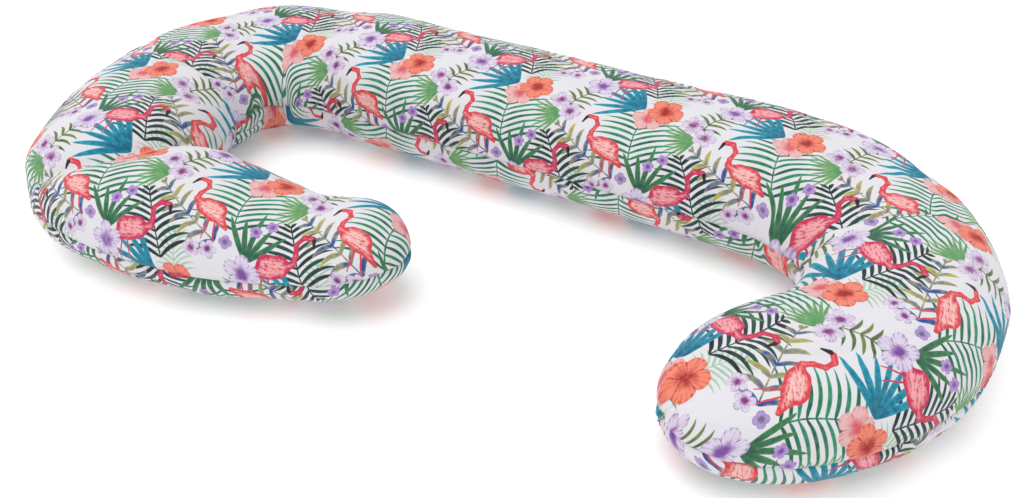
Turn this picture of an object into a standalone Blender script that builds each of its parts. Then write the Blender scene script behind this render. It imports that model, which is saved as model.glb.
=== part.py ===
"""Full-body nursing pillow: a stuffed C-shaped bolster in a loose, zipped and panelled cover.

Units are metres and +Z is up. The pillow lies on the floor with its long back along +X, the
outer side of the back towards +Y and both arms towards -Y. The origin is the centre of the
footprint on the floor. Every textile layer is an offset of one lofted skin, so the cover, the
casing inside it and the filling always fit each other with the same named clearances.
"""
import math

import bmesh
import bpy
from mathutils import Vector

# ---- driving dimensions: the spine, from the left arm's tip to the right arm's tip ----------
# each run is (length, turn in degrees, clockwise seen from above, number of loft steps)
LEFT_ARM = (0.330, 12.0, 6)
HOOK = (0.350, 97.0, 8)
LEFT_SIDE = (0.075, 4.0, 1)
BACK_LEFT_CORNER = (0.210, 75.0, 6)
BOW_LEFT = (0.110, 8.0, 2)
STRAIGHT_BACK = (0.580, 0.0, 6)
BOW_RIGHT = (0.120, 8.0, 2)
RIGHT_CORNER = (0.425, 121.0, 9)
RIGHT_ARM = (0.210, 9.0, 4)
SPINE = (LEFT_ARM, HOOK, LEFT_SIDE, BACK_LEFT_CORNER, BOW_LEFT, STRAIGHT_BACK, BOW_RIGHT,
         RIGHT_CORNER, RIGHT_ARM)
BEND_EASE = 0.060            # the length over which one run's curvature eases into the next

# ---- driving dimensions: the stuffed tube ------------------------------------------------------
BACK_HALF_WIDTH = 0.133      # along the straight back
LEFT_TIP_HALF_WIDTH = 0.144  # at the left arm's tip, before its rounding
LEFT_ARM_HALF_WIDTH = 0.102  # the slimmer middle of the left arm
HOOK_HALF_WIDTH = 0.126
LEFT_CORNER_HALF_WIDTH = 0.127
RIGHT_CORNER_HALF_WIDTH = 0.125
RIGHT_ARM_HALF_WIDTH = 0.116
RIGHT_TIP_HALF_WIDTH = 0.120
HOOK_FULLNESS = 0.024        # how far the hook's outer side swells past the round of the bend
HOOK_FULLNESS_AT = 0.40      # where it swells most, as a share of the hook's length
HOOK_FULLNESS_REACH = 0.070
HEIGHT_RATIO = 1.25          # tube height over its half width
SEAM_HEIGHT = 0.435          # height of the side seam as a share of the tube's height
LEFT_TIP_LENGTH = 0.260      # the length over which each arm's end closes
RIGHT_TIP_LENGTH = 0.240
LEFT_TIP_POWER = 1.3
RIGHT_TIP_POWER = 2.6
ROUNDNESS = 0.85             # 1 is an ellipse, less is a fuller section
FLOOR_CUT = 0.90             # share of the lower half that is left when the floor flattens it

# ---- driving dimensions: layers and fits -----------------------------------------------------
COVER_THICK = 0.0012
TAPE_THICK = 0.0007
CASING_THICK = 0.0010
LAYER_GAP = 0.0005           # between two layers that touch
SEAM_GAP = 0.0004            # between the edges of two neighbouring panels
TAPE_DEPTH = COVER_THICK + LAYER_GAP
CASING_DEPTH = TAPE_DEPTH + TAPE_THICK + LAYER_GAP
FILLING_DEPTH = CASING_DEPTH + CASING_THICK + LAYER_GAP

# ---- driving dimensions: the zip -------------------------------------------------------------
ZIP_END_MARGIN = 0.050       # straight cloth left at each end of the straight back
TAPE_HALF = 0.014            # each tape's reach above or below the middle line
COIL_WIDTH = 0.0024
COIL_HEIGHT = 0.0015
STOP_LENGTH = 0.0030
SLIDER_LENGTH = 0.012
SLIDER_WALL = 0.0010
SLIDER_CLEAR = 0.0004
SLOT_CLEAR = 0.00015         # between the slider's side and the cover's edge
# Half the gap between the cover's two edges, before half a seam gap is trimmed off each.
ZIP_SLOT_HALF = (COIL_WIDTH + 0.5 * LAYER_GAP + SLIDER_CLEAR + SLIDER_WALL + SLOT_CLEAR
                 - 0.5 * SEAM_GAP)
ARCH_HALF = 0.0032           # half the length of the slider's arch
ARCH_RISE = 0.0032
ARCH_BAR = 0.0010
ARCH_HALF_WIDTH = 0.0010
TAB_LENGTH = 0.024
TAB_WIDTH = 0.0062
TAB_THICK = 0.0012
TAB_EYE = 0.0046             # length of the eye that the arch passes through

FINE_STEP = 0.0025
SIDE_ROWS = 8                # loft rows from the tape's edge round to the inner seam


def smooth_steps(values, positions, at):
    """Value at a position along knots, eased with a cosine between neighbours."""
    if at <= positions[0]:
        return values[0]
    for k in range(1, len(positions)):
        if at <= positions[k]:
            share = (at - positions[k - 1]) / (positions[k] - positions[k - 1])
            share = 0.5 - 0.5 * math.cos(math.pi * share)
            return values[k - 1] + (values[k] - values[k - 1]) * share
    return values[-1]


def run_ends():
    """Distance along the spine at the end of each run, starting with 0."""
    ends = [0.0]
    for length, _turn, _steps in SPINE:
        ends.append(ends[-1] + length)
    return ends


def spine_line():
    """Fine samples (distance, x, y, heading) of the spine; the straight back heads along +X."""
    ends = run_ends()
    total = ends[-1]
    count = int(round(total / FINE_STEP))
    step = total / count
    headings = []
    for k in range(count + 1):
        along = k * step
        turned = 0.0
        for (length, turn, _steps), start in zip(SPINE, ends):
            turned -= math.radians(turn) * min(max((along - start) / length, 0.0), 1.0)
        headings.append(turned)
    reach = int(round(0.5 * BEND_EASE / step))
    eased = []
    for k in range(count + 1):
        near = [headings[min(max(k + d, 0), count)] for d in range(-reach, reach + 1)]
        eased.append(sum(near) / len(near))
    middle = int(round((0.5 * (ends[5] + ends[6])) / step))
    base = eased[middle]
    eased = [h - base for h in eased]
    x, y, line = 0.0, 0.0, []
    for k in range(count + 1):
        if k:
            mean = 0.5 * (eased[k] + eased[k - 1])
            x += step * math.cos(mean)
            y += step * math.sin(mean)
        line.append((k * step, x, y, eased[k]))
    return line


def half_width(along):
    ends = run_ends()
    knots = (0.0, 0.5 * ends[1], 0.5 * (ends[1] + ends[2]), ends[4], ends[5], ends[6],
             0.5 * (ends[7] + ends[8]), ends[8], ends[9])
    widths = (LEFT_TIP_HALF_WIDTH, LEFT_ARM_HALF_WIDTH, HOOK_HALF_WIDTH,
              LEFT_CORNER_HALF_WIDTH, BACK_HALF_WIDTH, BACK_HALF_WIDTH,
              RIGHT_CORNER_HALF_WIDTH, RIGHT_ARM_HALF_WIDTH, RIGHT_TIP_HALF_WIDTH)
    return smooth_steps(widths, knots, along)


def hook_swelling(along):
    """Extra reach of the outer side round the hook, a smooth bump along the spine."""
    ends = run_ends()
    peak = ends[1] + HOOK_FULLNESS_AT * (ends[2] - ends[1])
    return HOOK_FULLNESS * math.exp(-((along - peak) / HOOK_FULLNESS_REACH) ** 2)


def tip_closing(along):
    """How far the section is open: 0 at either tip, 1 away from them."""
    total = run_ends()[-1]
    left = 1.0 - min(max(1.0 - along / LEFT_TIP_LENGTH, 0.0), 1.0) ** LEFT_TIP_POWER
    right = 1.0 - min(max(1.0 - (total - along) / RIGHT_TIP_LENGTH, 0.0), 1.0) ** RIGHT_TIP_POWER
    return math.sqrt(max(left, 0.0)) * math.sqrt(max(right, 0.0))


def stations():
    """Distances of the loft's rings; both arms start with finer rings round their tips."""
    ends = run_ends()
    found = []
    for k, (length, _turn, steps) in enumerate(SPINE):
        for n in range(steps):
            found.append(ends[k] + length * n / steps)
    found.append(ends[-1])
    left, right = found[1], ends[-1] - found[-2]
    fine = [left * share for share in (0.03, 0.12, 0.30, 0.60)]
    ends_fine = [ends[-1] - right * share for share in (0.60, 0.30, 0.12, 0.03)]
    zip_from = ends[5] + ZIP_END_MARGIN
    zip_to = ends[6] - ZIP_END_MARGIN
    found = [f for f in found if not (ends[5] + 0.001 < f < ends[6] - 0.001)]
    inner = [zip_from + (zip_to - zip_from) * n / 5 for n in range(6)]
    return sorted(found[1:-1] + fine + ends_fine + inner), zip_from, zip_to


def row_angles():
    """Angles round the section from the outer seam; two close rows each side carry the zip."""
    half_rise = HEIGHT_RATIO * BACK_HALF_WIDTH * (1.0 - SEAM_HEIGHT)
    half_drop = HEIGHT_RATIO * BACK_HALF_WIDTH * SEAM_HEIGHT / FLOOR_CUT
    up, down = [], []
    for reach in (ZIP_SLOT_HALF, TAPE_HALF):
        up.append(math.asin((reach / half_rise) ** (1.0 / ROUNDNESS)))
        down.append(-math.asin((reach / half_drop) ** (1.0 / ROUNDNESS)))
    top = [up[1] + (math.pi - up[1]) * n / SIDE_ROWS for n in range(1, SIDE_ROWS)]
    low = [down[1] - (math.pi + down[1]) * n / SIDE_ROWS for n in range(1, SIDE_ROWS)]
    return [0.0] + up + top + [math.pi] + low[::-1] + [down[1], down[0]]


def loft_points():
    """Grid of ring points, the two tip points, and the numbers of the zip's end rings."""
    line = spine_line()
    step = line[1][0]
    rings, angles = [], row_angles()
    found, zip_from, zip_to = stations()
    for along in found:
        k = min(int(along / step), len(line) - 2)
        share = (along - line[k][0]) / step
        x = line[k][1] + (line[k + 1][1] - line[k][1]) * share
        y = line[k][2] + (line[k + 1][2] - line[k][2]) * share
        heading = line[k][3] + (line[k + 1][3] - line[k][3]) * share
        wide, shut = half_width(along), tip_closing(along)
        high = HEIGHT_RATIO * wide
        rise, drop = high * (1.0 - SEAM_HEIGHT), high * SEAM_HEIGHT
        swell = hook_swelling(along)
        ring = []
        for angle in angles:
            c, s = math.cos(angle), math.sin(angle)
            out = math.copysign(abs(c) ** ROUNDNESS, c)
            out = wide * shut * out + swell * max(out, 0.0)
            lift = math.copysign(abs(s) ** ROUNDNESS, s)
            lift = rise * lift if lift > 0.0 else drop * max(lift / FLOOR_CUT, -1.0)
            ring.append(Vector((x - math.sin(heading) * out, y + math.cos(heading) * out,
                                drop + lift * shut ** 0.8)))
        rings.append(ring)
    tips = []
    for along, ring in ((0, rings[0]), (-1, rings[-1])):
        level = 0.5 * (ring[0].z + ring[len(angles) // 2].z)
        tips.append(Vector((line[along][1], line[along][2], level)))
    first = min(range(len(found)), key=lambda n: abs(found[n] - zip_from))
    last = min(range(len(found)), key=lambda n: abs(found[n] - zip_to))
    return rings, tips, first, last


def centred_loft():
    rings, tips, first, last = loft_points()
    xs = [p.x for ring in rings for p in ring] + [t.x for t in tips]
    ys = [p.y for ring in rings for p in ring] + [t.y for t in tips]
    proud = COIL_HEIGHT - TAPE_DEPTH + LAYER_GAP + SLIDER_CLEAR + SLIDER_WALL
    proud += ARCH_RISE
    shift = Vector((-0.5 * (min(xs) + max(xs)), -0.5 * (min(ys) + max(ys) + proud), 0.0))
    rings = [[p + shift for p in ring] for ring in rings]
    return rings, [t + shift for t in tips], first, last


RINGS, TIPS, ZIP_FIRST, ZIP_LAST = centred_loft()
ROWS = len(RINGS[0])
INNER_ROW = ROWS // 2
LEFT_MITRE = 14              # rings where the corner seams cross the tube
RIGHT_MITRE = ZIP_LAST + 6


def clear_scene():
    for item in list(bpy.data.objects):
        bpy.data.objects.remove(item, do_unlink=True)
    for group in list(bpy.data.collections):
        bpy.data.collections.remove(group)


def new_collection(name, hidden):
    group = bpy.data.collections.new(name)
    bpy.context.scene.collection.children.link(group)
    group.hide_render = hidden
    return group


def material(name, colour, roughness, metallic):
    made = bpy.data.materials.new(name)
    made.use_nodes = True
    shader = made.node_tree.nodes["Principled BSDF"]
    shader.inputs["Base Color"].default_value = (*colour, 1.0)
    shader.inputs["Roughness"].default_value = roughness
    shader.inputs["Metallic"].default_value = metallic
    made.diffuse_color = (*colour, 1.0)
    return made


def add_object(name, mesh, group, colour, roughness, metallic=0.0):
    body = bpy.data.objects.new(name, mesh)
    group.objects.link(body)
    mesh.materials.append(material(name, colour, roughness, metallic))
    return body


def closed_skin():
    """The whole outer skin as one closed surface, with its vertex normals."""
    bm = bmesh.new()
    grid = [[bm.verts.new(p) for p in ring] for ring in RINGS]
    ends = [bm.verts.new(t) for t in TIPS]
    faces = {}
    for i in range(len(grid) - 1):
        for j in range(ROWS):
            k = (j + 1) % ROWS
            faces[(i, j)] = (grid[i][j], grid[i][k], grid[i + 1][k], grid[i + 1][j])
    for j in range(ROWS):
        k = (j + 1) % ROWS
        faces[(-1, j)] = (ends[0], grid[0][k], grid[0][j])
        faces[(len(grid) - 1, j)] = (ends[1], grid[-1][j], grid[-1][k])
    for corners in faces.values():
        bm.faces.new(corners)
    bmesh.ops.recalc_face_normals(bm, faces=bm.faces)
    bm.normal_update()
    places = {v: n for n, v in enumerate(bm.verts)}
    points = [v.co.copy() for v in bm.verts]
    normals = [v.normal.copy() for v in bm.verts]
    cells = {}
    for key, corners in faces.items():
        cells[key] = tuple(places[v] for v in corners)
    bm.verts.index_update()
    outward = {key: None for key in cells}
    for face in bm.faces:
        ring = tuple(places[v] for v in face.verts)
        outward[tuple(sorted(ring))] = ring
    cells = {key: split(outward[tuple(sorted(c))], points) for key, c in cells.items()}
    bm.free()
    return points, normals, cells


def split(ring, points):
    """A cell as triangles; every layer shares the cut, so no layer dips into the next."""
    if len(ring) == 3:
        return (ring,)
    a, b, c, d = ring
    if (points[a] - points[c]).length <= (points[b] - points[d]).length:
        return ((a, b, c), (a, c, d))
    return ((b, c, d), (b, d, a))


POINTS, NORMALS, CELLS = closed_skin()


def drawn_in(vert, inset):
    """A free-edge vertex moved into its patch, away from each free edge by the inset."""
    middle = sum((f.calc_center_median() for f in vert.link_faces), Vector())
    middle /= len(vert.link_faces)
    pull = Vector()
    for edge in vert.link_edges:
        if not edge.is_boundary:
            continue
        along = (edge.other_vert(vert).co - vert.co).normalized()
        inward = middle - vert.co
        inward -= along * inward.dot(along)
        if inward.length < 1e-7:
            continue
        inward.normalize()
        if pull.length < 1e-9 or inward.dot(pull.normalized()) < 0.8:
            pull += inward * inset
    return vert.co + pull


def skin_patch(name, wanted, depth, thick, inset):
    """Wanted cells of the skin, sunk by depth and made solid inwards by thick.

    Both faces leave the skin along the same normals, so neighbouring patches and the layers
    above and below stay parallel. Free edges are drawn in by inset. Without a thickness the
    cells close on themselves and are the solid's own surface.
    """
    bm = bmesh.new()
    outer = {}
    corners = [ring for key in wanted for ring in CELLS[key]]
    for ring in corners:
        for n in ring:
            if n not in outer:
                outer[n] = bm.verts.new(POINTS[n] - NORMALS[n] * depth)
        bm.faces.new([outer[n] for n in ring])
    if thick:
        places = {n: drawn_in(v, inset) for n, v in outer.items() if v.is_boundary}
        for n, place in places.items():
            outer[n].co = place
        inner = {n: bm.verts.new(v.co - NORMALS[n] * thick) for n, v in outer.items()}
        number = {v: n for n, v in outer.items()}
        rims = []
        for edge in bm.edges:
            if edge.is_boundary:
                ring = edge.link_loops[0]
                rims.append((number[ring.link_loop_next.vert], number[ring.vert]))
        for ring in corners:
            bm.faces.new([inner[n] for n in reversed(ring)])
        for a, b in rims:
            bm.faces.new((outer[a], outer[b], inner[b], inner[a]))
    mesh = bpy.data.meshes.new(name)
    bm.to_mesh(mesh)
    bm.free()
    mesh.polygons.foreach_set("use_smooth", [True] * len(mesh.polygons))
    return mesh


def span(first, last, low, high):
    """Cells between two rings and two rows; -1 and the last ring take in the tips."""
    return [(i, j % ROWS) for i in range(first, last) for j in range(low, high)]


def slot_cells(keys):
    """Cells that the zip's opening leaves out of the cover."""
    beside = (0, ROWS - 1)
    return [k for k in keys if not (ZIP_FIRST <= k[0] < ZIP_LAST and k[1] in beside)]


def textile_layers(group):
    last = len(RINGS)
    white, cotton = (0.86, 0.84, 0.86), (0.90, 0.90, 0.88)
    cuts = ((-1, LEFT_MITRE, "left"), (LEFT_MITRE, RIGHT_MITRE, "back"),
            (RIGHT_MITRE, last, "right"))
    for first, end, side in cuts:
        for part, low, high in (("top", 0, INNER_ROW), ("bottom", INNER_ROW, ROWS)):
            name = "cover_%s_%s" % (part, side)
            cells = slot_cells(span(first, end, low, high))
            mesh = skin_patch(name, cells, 0.0, COVER_THICK, 0.5 * SEAM_GAP)
            add_object(name, mesh, group, white, 0.85)
    for part, low, high in (("upper", 0, INNER_ROW), ("lower", INNER_ROW, ROWS)):
        name = "casing_" + part
        cells = span(-1, last, low, high)
        mesh = skin_patch(name, cells, CASING_DEPTH, CASING_THICK, 0.5 * SEAM_GAP)
        add_object(name, mesh, group, cotton, 0.9)
    mesh = skin_patch("fibre_filling", span(-1, last, 0, ROWS), FILLING_DEPTH, 0.0, 0.0)
    add_object("fibre_filling", mesh, group, (0.93, 0.93, 0.94), 0.95)
    for part, low, high in (("upper", 0, 2), ("lower", ROWS - 2, ROWS)):
        name = "zip_tape_" + part
        cells = span(ZIP_FIRST, ZIP_LAST, low, high)
        mesh = skin_patch(name, cells, TAPE_DEPTH, TAPE_THICK, 0.5 * SEAM_GAP)
        add_object(name, mesh, group, (0.84, 0.84, 0.85), 0.8)


def flat_outline(name, outlines, half_thick, group):
    """A closed plate from flat outlines, the first being its rim and the others its holes."""
    curve = bpy.data.curves.new(name, "CURVE")
    curve.dimensions = "2D"
    curve.fill_mode = "BOTH"
    curve.extrude = half_thick
    for outline in outlines:
        spline = curve.splines.new("POLY")
        spline.points.add(len(outline) - 1)
        for point, (u, v) in zip(spline.points, outline):
            point.co = (u, v, 0.0, 1.0)
        spline.use_cyclic_u = True
    shape = bpy.data.objects.new(name, curve)
    group.objects.link(shape)
    return shape


def curve_mesh(shape, name, turn):
    """The curve's solid as a mesh, its local axes sent to the three given directions."""
    bpy.context.view_layer.update()
    graph = bpy.context.evaluated_depsgraph_get()
    mesh = bpy.data.meshes.new_from_object(shape.evaluated_get(graph))
    mesh.name = name
    bm = bmesh.new()
    bm.from_mesh(mesh)
    bmesh.ops.remove_doubles(bm, verts=bm.verts, dist=0.00001)
    for vert in bm.verts:
        u, v, w = vert.co
        vert.co = turn[0] * u + turn[1] * v + turn[2] * w
    bmesh.ops.recalc_face_normals(bm, faces=bm.faces)
    bm.to_mesh(mesh)
    bm.free()
    mesh.materials.clear()
    return mesh


def rounded_box(low_u, high_u, low_v, high_v, radius, steps=3):
    """Outline of a rectangle with round corners, anticlockwise."""
    corners = ((high_u - radius, high_v - radius, 0.0), (low_u + radius, high_v - radius, 90.0),
               (low_u + radius, low_v + radius, 180.0), (high_u - radius, low_v + radius, 270.0))
    points = []
    for u, v, start in corners:
        for n in range(steps + 1):
            angle = math.radians(start + 90.0 * n / steps)
            points.append((u + radius * math.cos(angle), v + radius * math.sin(angle)))
    return points


def add_block(name, size, centre, bevel, group, colour, roughness, metallic=0.0):
    """A block with its edges rounded, centred on a point."""
    bm = bmesh.new()
    bmesh.ops.create_cube(bm, size=1.0)
    for vert in bm.verts:
        vert.co = Vector(a * b for a, b in zip(vert.co, size))
    mesh = bpy.data.meshes.new(name)
    bm.to_mesh(mesh)
    bm.free()
    body = add_object(name, mesh, group, colour, roughness, metallic)
    body.location = centre
    edge = body.modifiers.new("edges", "BEVEL")
    edge.width = bevel
    edge.segments = 2
    edge.limit_method = "ANGLE"
    return body


def zip_frame():
    """The zip's ends along X, the outer face of the cover there, and the seam's height."""
    first, last = RINGS[ZIP_FIRST][0], RINGS[ZIP_LAST][0]
    return first.x, last.x, first.y, first.z


def zip_parts(group, guides):
    start, end, face, level = zip_frame()
    seat = face - TAPE_DEPTH + LAYER_GAP           # the tape's outer face plus the gap
    coil_mid = seat + 0.5 * COIL_HEIGHT
    coil_start = start + 2.0 * STOP_LENGTH
    coil_end = end - 2.0 * STOP_LENGTH
    nylon, metal = (0.80, 0.80, 0.82), (0.62, 0.63, 0.65)
    lane = 0.5 * COIL_WIDTH + 0.5 * LAYER_GAP
    for part, side in (("upper", 1.0), ("lower", -1.0)):
        add_block("zip_coil_" + part, (coil_end - coil_start, COIL_HEIGHT, COIL_WIDTH),
                  (0.5 * (coil_start + coil_end), coil_mid, level + side * lane),
                  0.0004, group, nylon, 0.4)
        add_block("zip_top_stop_" + part, (STOP_LENGTH, 0.0018, COIL_WIDTH),
                  (coil_end + LAYER_GAP + 0.5 * STOP_LENGTH, seat + 0.0009,
                   level + side * lane), 0.0003, group, metal, 0.3, 1.0)
    add_block("zip_bottom_stop", (STOP_LENGTH, 0.0018, 2.0 * COIL_WIDTH + LAYER_GAP),
              (coil_start - LAYER_GAP - 0.5 * STOP_LENGTH, seat + 0.0009, level),
              0.0003, group, metal, 0.3, 1.0)

    roof = seat + COIL_HEIGHT + SLIDER_CLEAR       # underside of the slider's top wing
    reach = COIL_WIDTH + 0.5 * LAYER_GAP + SLIDER_CLEAR
    foot = seat + 0.0002
    middle = coil_end - 0.5 * SLIDER_LENGTH - 0.002
    out, up, along = Vector((0, 1, 0)), Vector((0, 0, 1)), Vector((1, 0, 0))
    base = 0.0
    channel = ((reach, foot - roof), (reach + SLIDER_WALL, foot - roof),
               (reach + SLIDER_WALL, SLIDER_WALL), (-reach - SLIDER_WALL, SLIDER_WALL),
               (-reach - SLIDER_WALL, foot - roof), (-reach, foot - roof), (-reach, base),
               (reach, base))
    shape = flat_outline("slider_channel_outline", (channel,), 0.5 * SLIDER_LENGTH, guides)
    mesh = curve_mesh(shape, "zip_slider", (up, out, -along))
    slider = add_object("zip_slider", mesh, group, metal, 0.28, 1.0)
    arch_top = SLIDER_WALL + ARCH_RISE
    arch = ((-ARCH_HALF, 0.4 * SLIDER_WALL), (-ARCH_HALF, arch_top - 0.0006),
            (-ARCH_HALF + 0.0006, arch_top), (ARCH_HALF - 0.0006, arch_top),
            (ARCH_HALF, arch_top - 0.0006), (ARCH_HALF, 0.4 * SLIDER_WALL),
            (ARCH_HALF - ARCH_BAR, 0.4 * SLIDER_WALL),
            (ARCH_HALF - ARCH_BAR, arch_top - ARCH_BAR),
            (-ARCH_HALF + ARCH_BAR, arch_top - ARCH_BAR),
            (-ARCH_HALF + ARCH_BAR, 0.4 * SLIDER_WALL))
    shape = flat_outline("slider_arch_outline", (arch,), ARCH_HALF_WIDTH, guides)
    cutter = bpy.data.objects.new("slider_arch", curve_mesh(shape, "arch", (along, out, up)))
    guides.objects.link(cutter)
    join = slider.modifiers.new("arch", "BOOLEAN")
    join.operation = "UNION"
    join.solver = "EXACT"
    join.object = cutter
    slider.location = (middle, roof, level)
    cutter.location = slider.location

    pin = Vector((middle, roof + SLIDER_WALL + 0.5 * (ARCH_RISE - ARCH_BAR), level))
    half = 0.5 * TAB_WIDTH
    bar = 0.5 * TAB_THICK
    rim = rounded_box(-TAB_LENGTH, bar, -half, half, 0.0011)
    eye = rounded_box(-bar - TAB_EYE, -bar, -ARCH_HALF_WIDTH - 0.0006,
                      ARCH_HALF_WIDTH + 0.0006, 0.0003, 1)
    grip = rounded_box(-TAB_LENGTH + 0.003, -TAB_LENGTH + 0.010, -0.0012, 0.0012, 0.0011)
    shape = flat_outline("tab_outline", (rim, eye[::-1], grip[::-1]), 0.5 * TAB_THICK, guides)
    mesh = curve_mesh(shape, "zip_pull_tab", (along, up, -out))
    tab = add_object("zip_pull_tab", mesh, group, metal, 0.3, 1.0)
    tab.location = pin
    travel = middle - (coil_start + 0.5 * SLIDER_LENGTH + 0.002)
    return pin, start, end, level, travel


def main():
    clear_scene()
    parts = new_collection("nursing_pillow", False)
    guides = new_collection("guides", True)
    textile_layers(parts)
    pin, start, end, level, travel = zip_parts(parts, guides)
    for item in guides.objects:
        item.hide_render = True
        item.display_type = "WIRE"
    bpy.context.view_layer.update()
    print("pull tab hinge", tuple(round(c, 5) for c in pin))
    print("zip from", round(start, 5), "to", round(end, 5), "at height", round(level, 5))
    print("zip travel", round(travel, 4))
    under = [p for p in RINGS[ZIP_FIRST] if p.z < 1e-6] + [p for p in RINGS[ZIP_LAST] if p.z < 1e-6]
    rest = sum(under, Vector()) / len(under)
    print("floor face at", tuple(round(c, 5) for c in rest))


main()
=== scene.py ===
"""Nursing pillow: the soft, printed and zipped body built over the packed frame.

The pillow is one stuffed C-shaped tube. Its skin is a function of two parameters, the distance
along the tube's spine and the angle round it. The cloth solver relaxes that skin, seams,
puckers and creases are pressed into it, and it is then cut into the six panels of the cover.
"""
import functools
import math

import bpy
import numpy as np
from bpy.props import FloatProperty, FloatVectorProperty, IntProperty, PointerProperty
from bpy.types import Operator, Panel, PropertyGroup
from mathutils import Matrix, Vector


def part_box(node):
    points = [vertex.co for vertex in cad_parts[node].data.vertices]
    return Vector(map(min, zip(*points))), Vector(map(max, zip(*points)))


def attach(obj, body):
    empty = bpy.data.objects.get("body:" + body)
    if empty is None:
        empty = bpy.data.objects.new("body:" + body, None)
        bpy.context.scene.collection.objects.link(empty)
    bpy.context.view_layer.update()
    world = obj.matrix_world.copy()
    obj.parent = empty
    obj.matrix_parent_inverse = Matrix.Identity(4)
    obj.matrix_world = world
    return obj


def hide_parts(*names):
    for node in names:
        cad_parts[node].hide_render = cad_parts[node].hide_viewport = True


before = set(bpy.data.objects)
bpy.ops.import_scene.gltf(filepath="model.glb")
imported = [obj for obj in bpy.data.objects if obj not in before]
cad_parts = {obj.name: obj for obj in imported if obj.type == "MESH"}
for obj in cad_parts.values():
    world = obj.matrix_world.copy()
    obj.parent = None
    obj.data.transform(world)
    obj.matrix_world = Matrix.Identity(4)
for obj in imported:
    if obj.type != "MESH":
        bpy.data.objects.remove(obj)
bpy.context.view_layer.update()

bl_info = {
    "name": "Nursing pillow",
    "version": (1, 0, 0),
    "blender": (4, 5, 0),
    "location": "3D View > Sidebar > Pillow",
    "description": "Builds a stuffed C-shaped nursing pillow in a printed, zipped cover",
    "category": "Object",
}

# ---- the tube, as the frame has it: (length, clockwise turn in degrees) of each run ------------
SPINE = ((0.330, 12.0), (0.350, 97.0), (0.075, 4.0), (0.210, 75.0), (0.110, 8.0), (0.580, 0.0),
         (0.120, 8.0), (0.425, 121.0), (0.210, 9.0))
HOOK_RUN, STRAIGHT_RUN, RIGHT_RUN = 1, 5, 7
SPINE_STEP = 0.0025
BEND_EASE = 0.060
HALF_WIDTHS = (0.144, 0.102, 0.126, 0.127, 0.133, 0.133, 0.125, 0.116, 0.120)
BACK_WIDTH = 4               # which of them is the straight back's
HOOK_FULLNESS, HOOK_FULLNESS_AT, HOOK_FULLNESS_REACH = 0.024, 0.40, 0.070
HEIGHT_RATIO = 1.25
SEAM_HEIGHT = 0.435
TIP_LENGTHS = (0.260, 0.240)
TIP_POWERS = (1.3, 2.6)
TIP_RINGS = 26
ROUNDNESS = 0.85
FLOOR_CUT = 0.90
COVER_THICK = 0.0012
CASING_DEPTH, CASING_THICK = 0.0029, 0.0010
FILLING_DEPTH = 0.0044
SLOT_HALF = 0.004
ZIP_MARGIN = 0.050
TAPE_DEPTH, TAPE_THICK, TAPE_HALF, TAPE_TRIM = 0.0017, 0.0007, 0.014, 0.0006
COIL_PITCH, COIL_WIRE = 0.0014, 0.00030
COIL_STEPS, COIL_SIDES = 10, 4

RUN_ENDS = np.concatenate([[0.0], np.cumsum([run[0] for run in SPINE])])
TUBE_LENGTH = float(RUN_ENDS[-1])
MIDDLE = 0.5 * (RUN_ENDS[STRAIGHT_RUN] + RUN_ENDS[STRAIGHT_RUN + 1])
# The two seams across the tube: at the hook's end, and 4/9 of the way through the right corner.
LEFT_MITRE = float(RUN_ENDS[HOOK_RUN + 1])
RIGHT_MITRE = float(RUN_ENDS[RIGHT_RUN] + SPINE[RIGHT_RUN][0] * 4.0 / 9.0)

# ---- the print's brick repeat: along a row, from row to row, and each row's shift -------------
REPEAT = 0.196
ROW_HEIGHT = 0.190
ROW_SHIFT = 0.098


# ================================================================================== properties
class PillowCloth(PropertyGroup):
    """How the cover and its stuffing sit."""

    pressure: FloatProperty(
        name="Stuffing pressure", description="Pressure that swells the cover while it settles",
        default=4.0, min=0.0, max=20.0)
    most_move: FloatProperty(
        name="Largest settling", description="The furthest that a point may move while settling",
        default=0.006, min=0.0, unit="LENGTH", subtype="DISTANCE")
    seam_depth: FloatProperty(
        name="Seam depth", description="How deep the side seam draws the cloth in",
        default=0.0028, min=0.0, unit="LENGTH", subtype="DISTANCE")
    pucker: FloatProperty(
        name="Pucker height", description="Height of the small gathers beside a seam",
        default=0.0020, min=0.0, unit="LENGTH", subtype="DISTANCE")
    crease: FloatProperty(
        name="Crease depth", description="Depth of the fold across the hook of the left arm",
        default=0.032, min=0.0, unit="LENGTH", subtype="DISTANCE")
    dimple: FloatProperty(
        name="Unevenness", description="Height of the broad lumps that loose filling makes",
        default=0.0026, min=0.0, unit="LENGTH", subtype="DISTANCE")
    rings: IntProperty(
        name="Rings", description="Rings of the cover's surface along the tube",
        default=820, min=60, max=1500)
    rows: IntProperty(
        name="Rows", description="Rows of the cover's surface round the tube",
        default=176, min=24, max=400)


class PillowPrint(PropertyGroup):
    """The colours of the cover, the casing and the zip."""

    ground: FloatVectorProperty(
        name="Ground", description="The unprinted cotton", subtype="COLOR", size=3,
        min=0.0, max=1.0, default=(0.665, 0.655, 0.69))
    cotton: FloatVectorProperty(
        name="Casing cotton", description="The plain casing inside the cover", subtype="COLOR",
        size=3, min=0.0, max=1.0, default=(0.80, 0.79, 0.76))
    fibre: FloatVectorProperty(
        name="Fibre", description="The polyester filling", subtype="COLOR", size=3,
        min=0.0, max=1.0, default=(0.85, 0.85, 0.86))
    nylon: FloatVectorProperty(
        name="Zip nylon", description="The zip's tapes and coils", subtype="COLOR", size=3,
        min=0.0, max=1.0, default=(0.78, 0.78, 0.80))
    metal: FloatVectorProperty(
        name="Zip metal", description="The slider, its pull tab and the stops",
        subtype="COLOR", size=3, min=0.0, max=1.0, default=(0.37, 0.38, 0.40))


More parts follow.
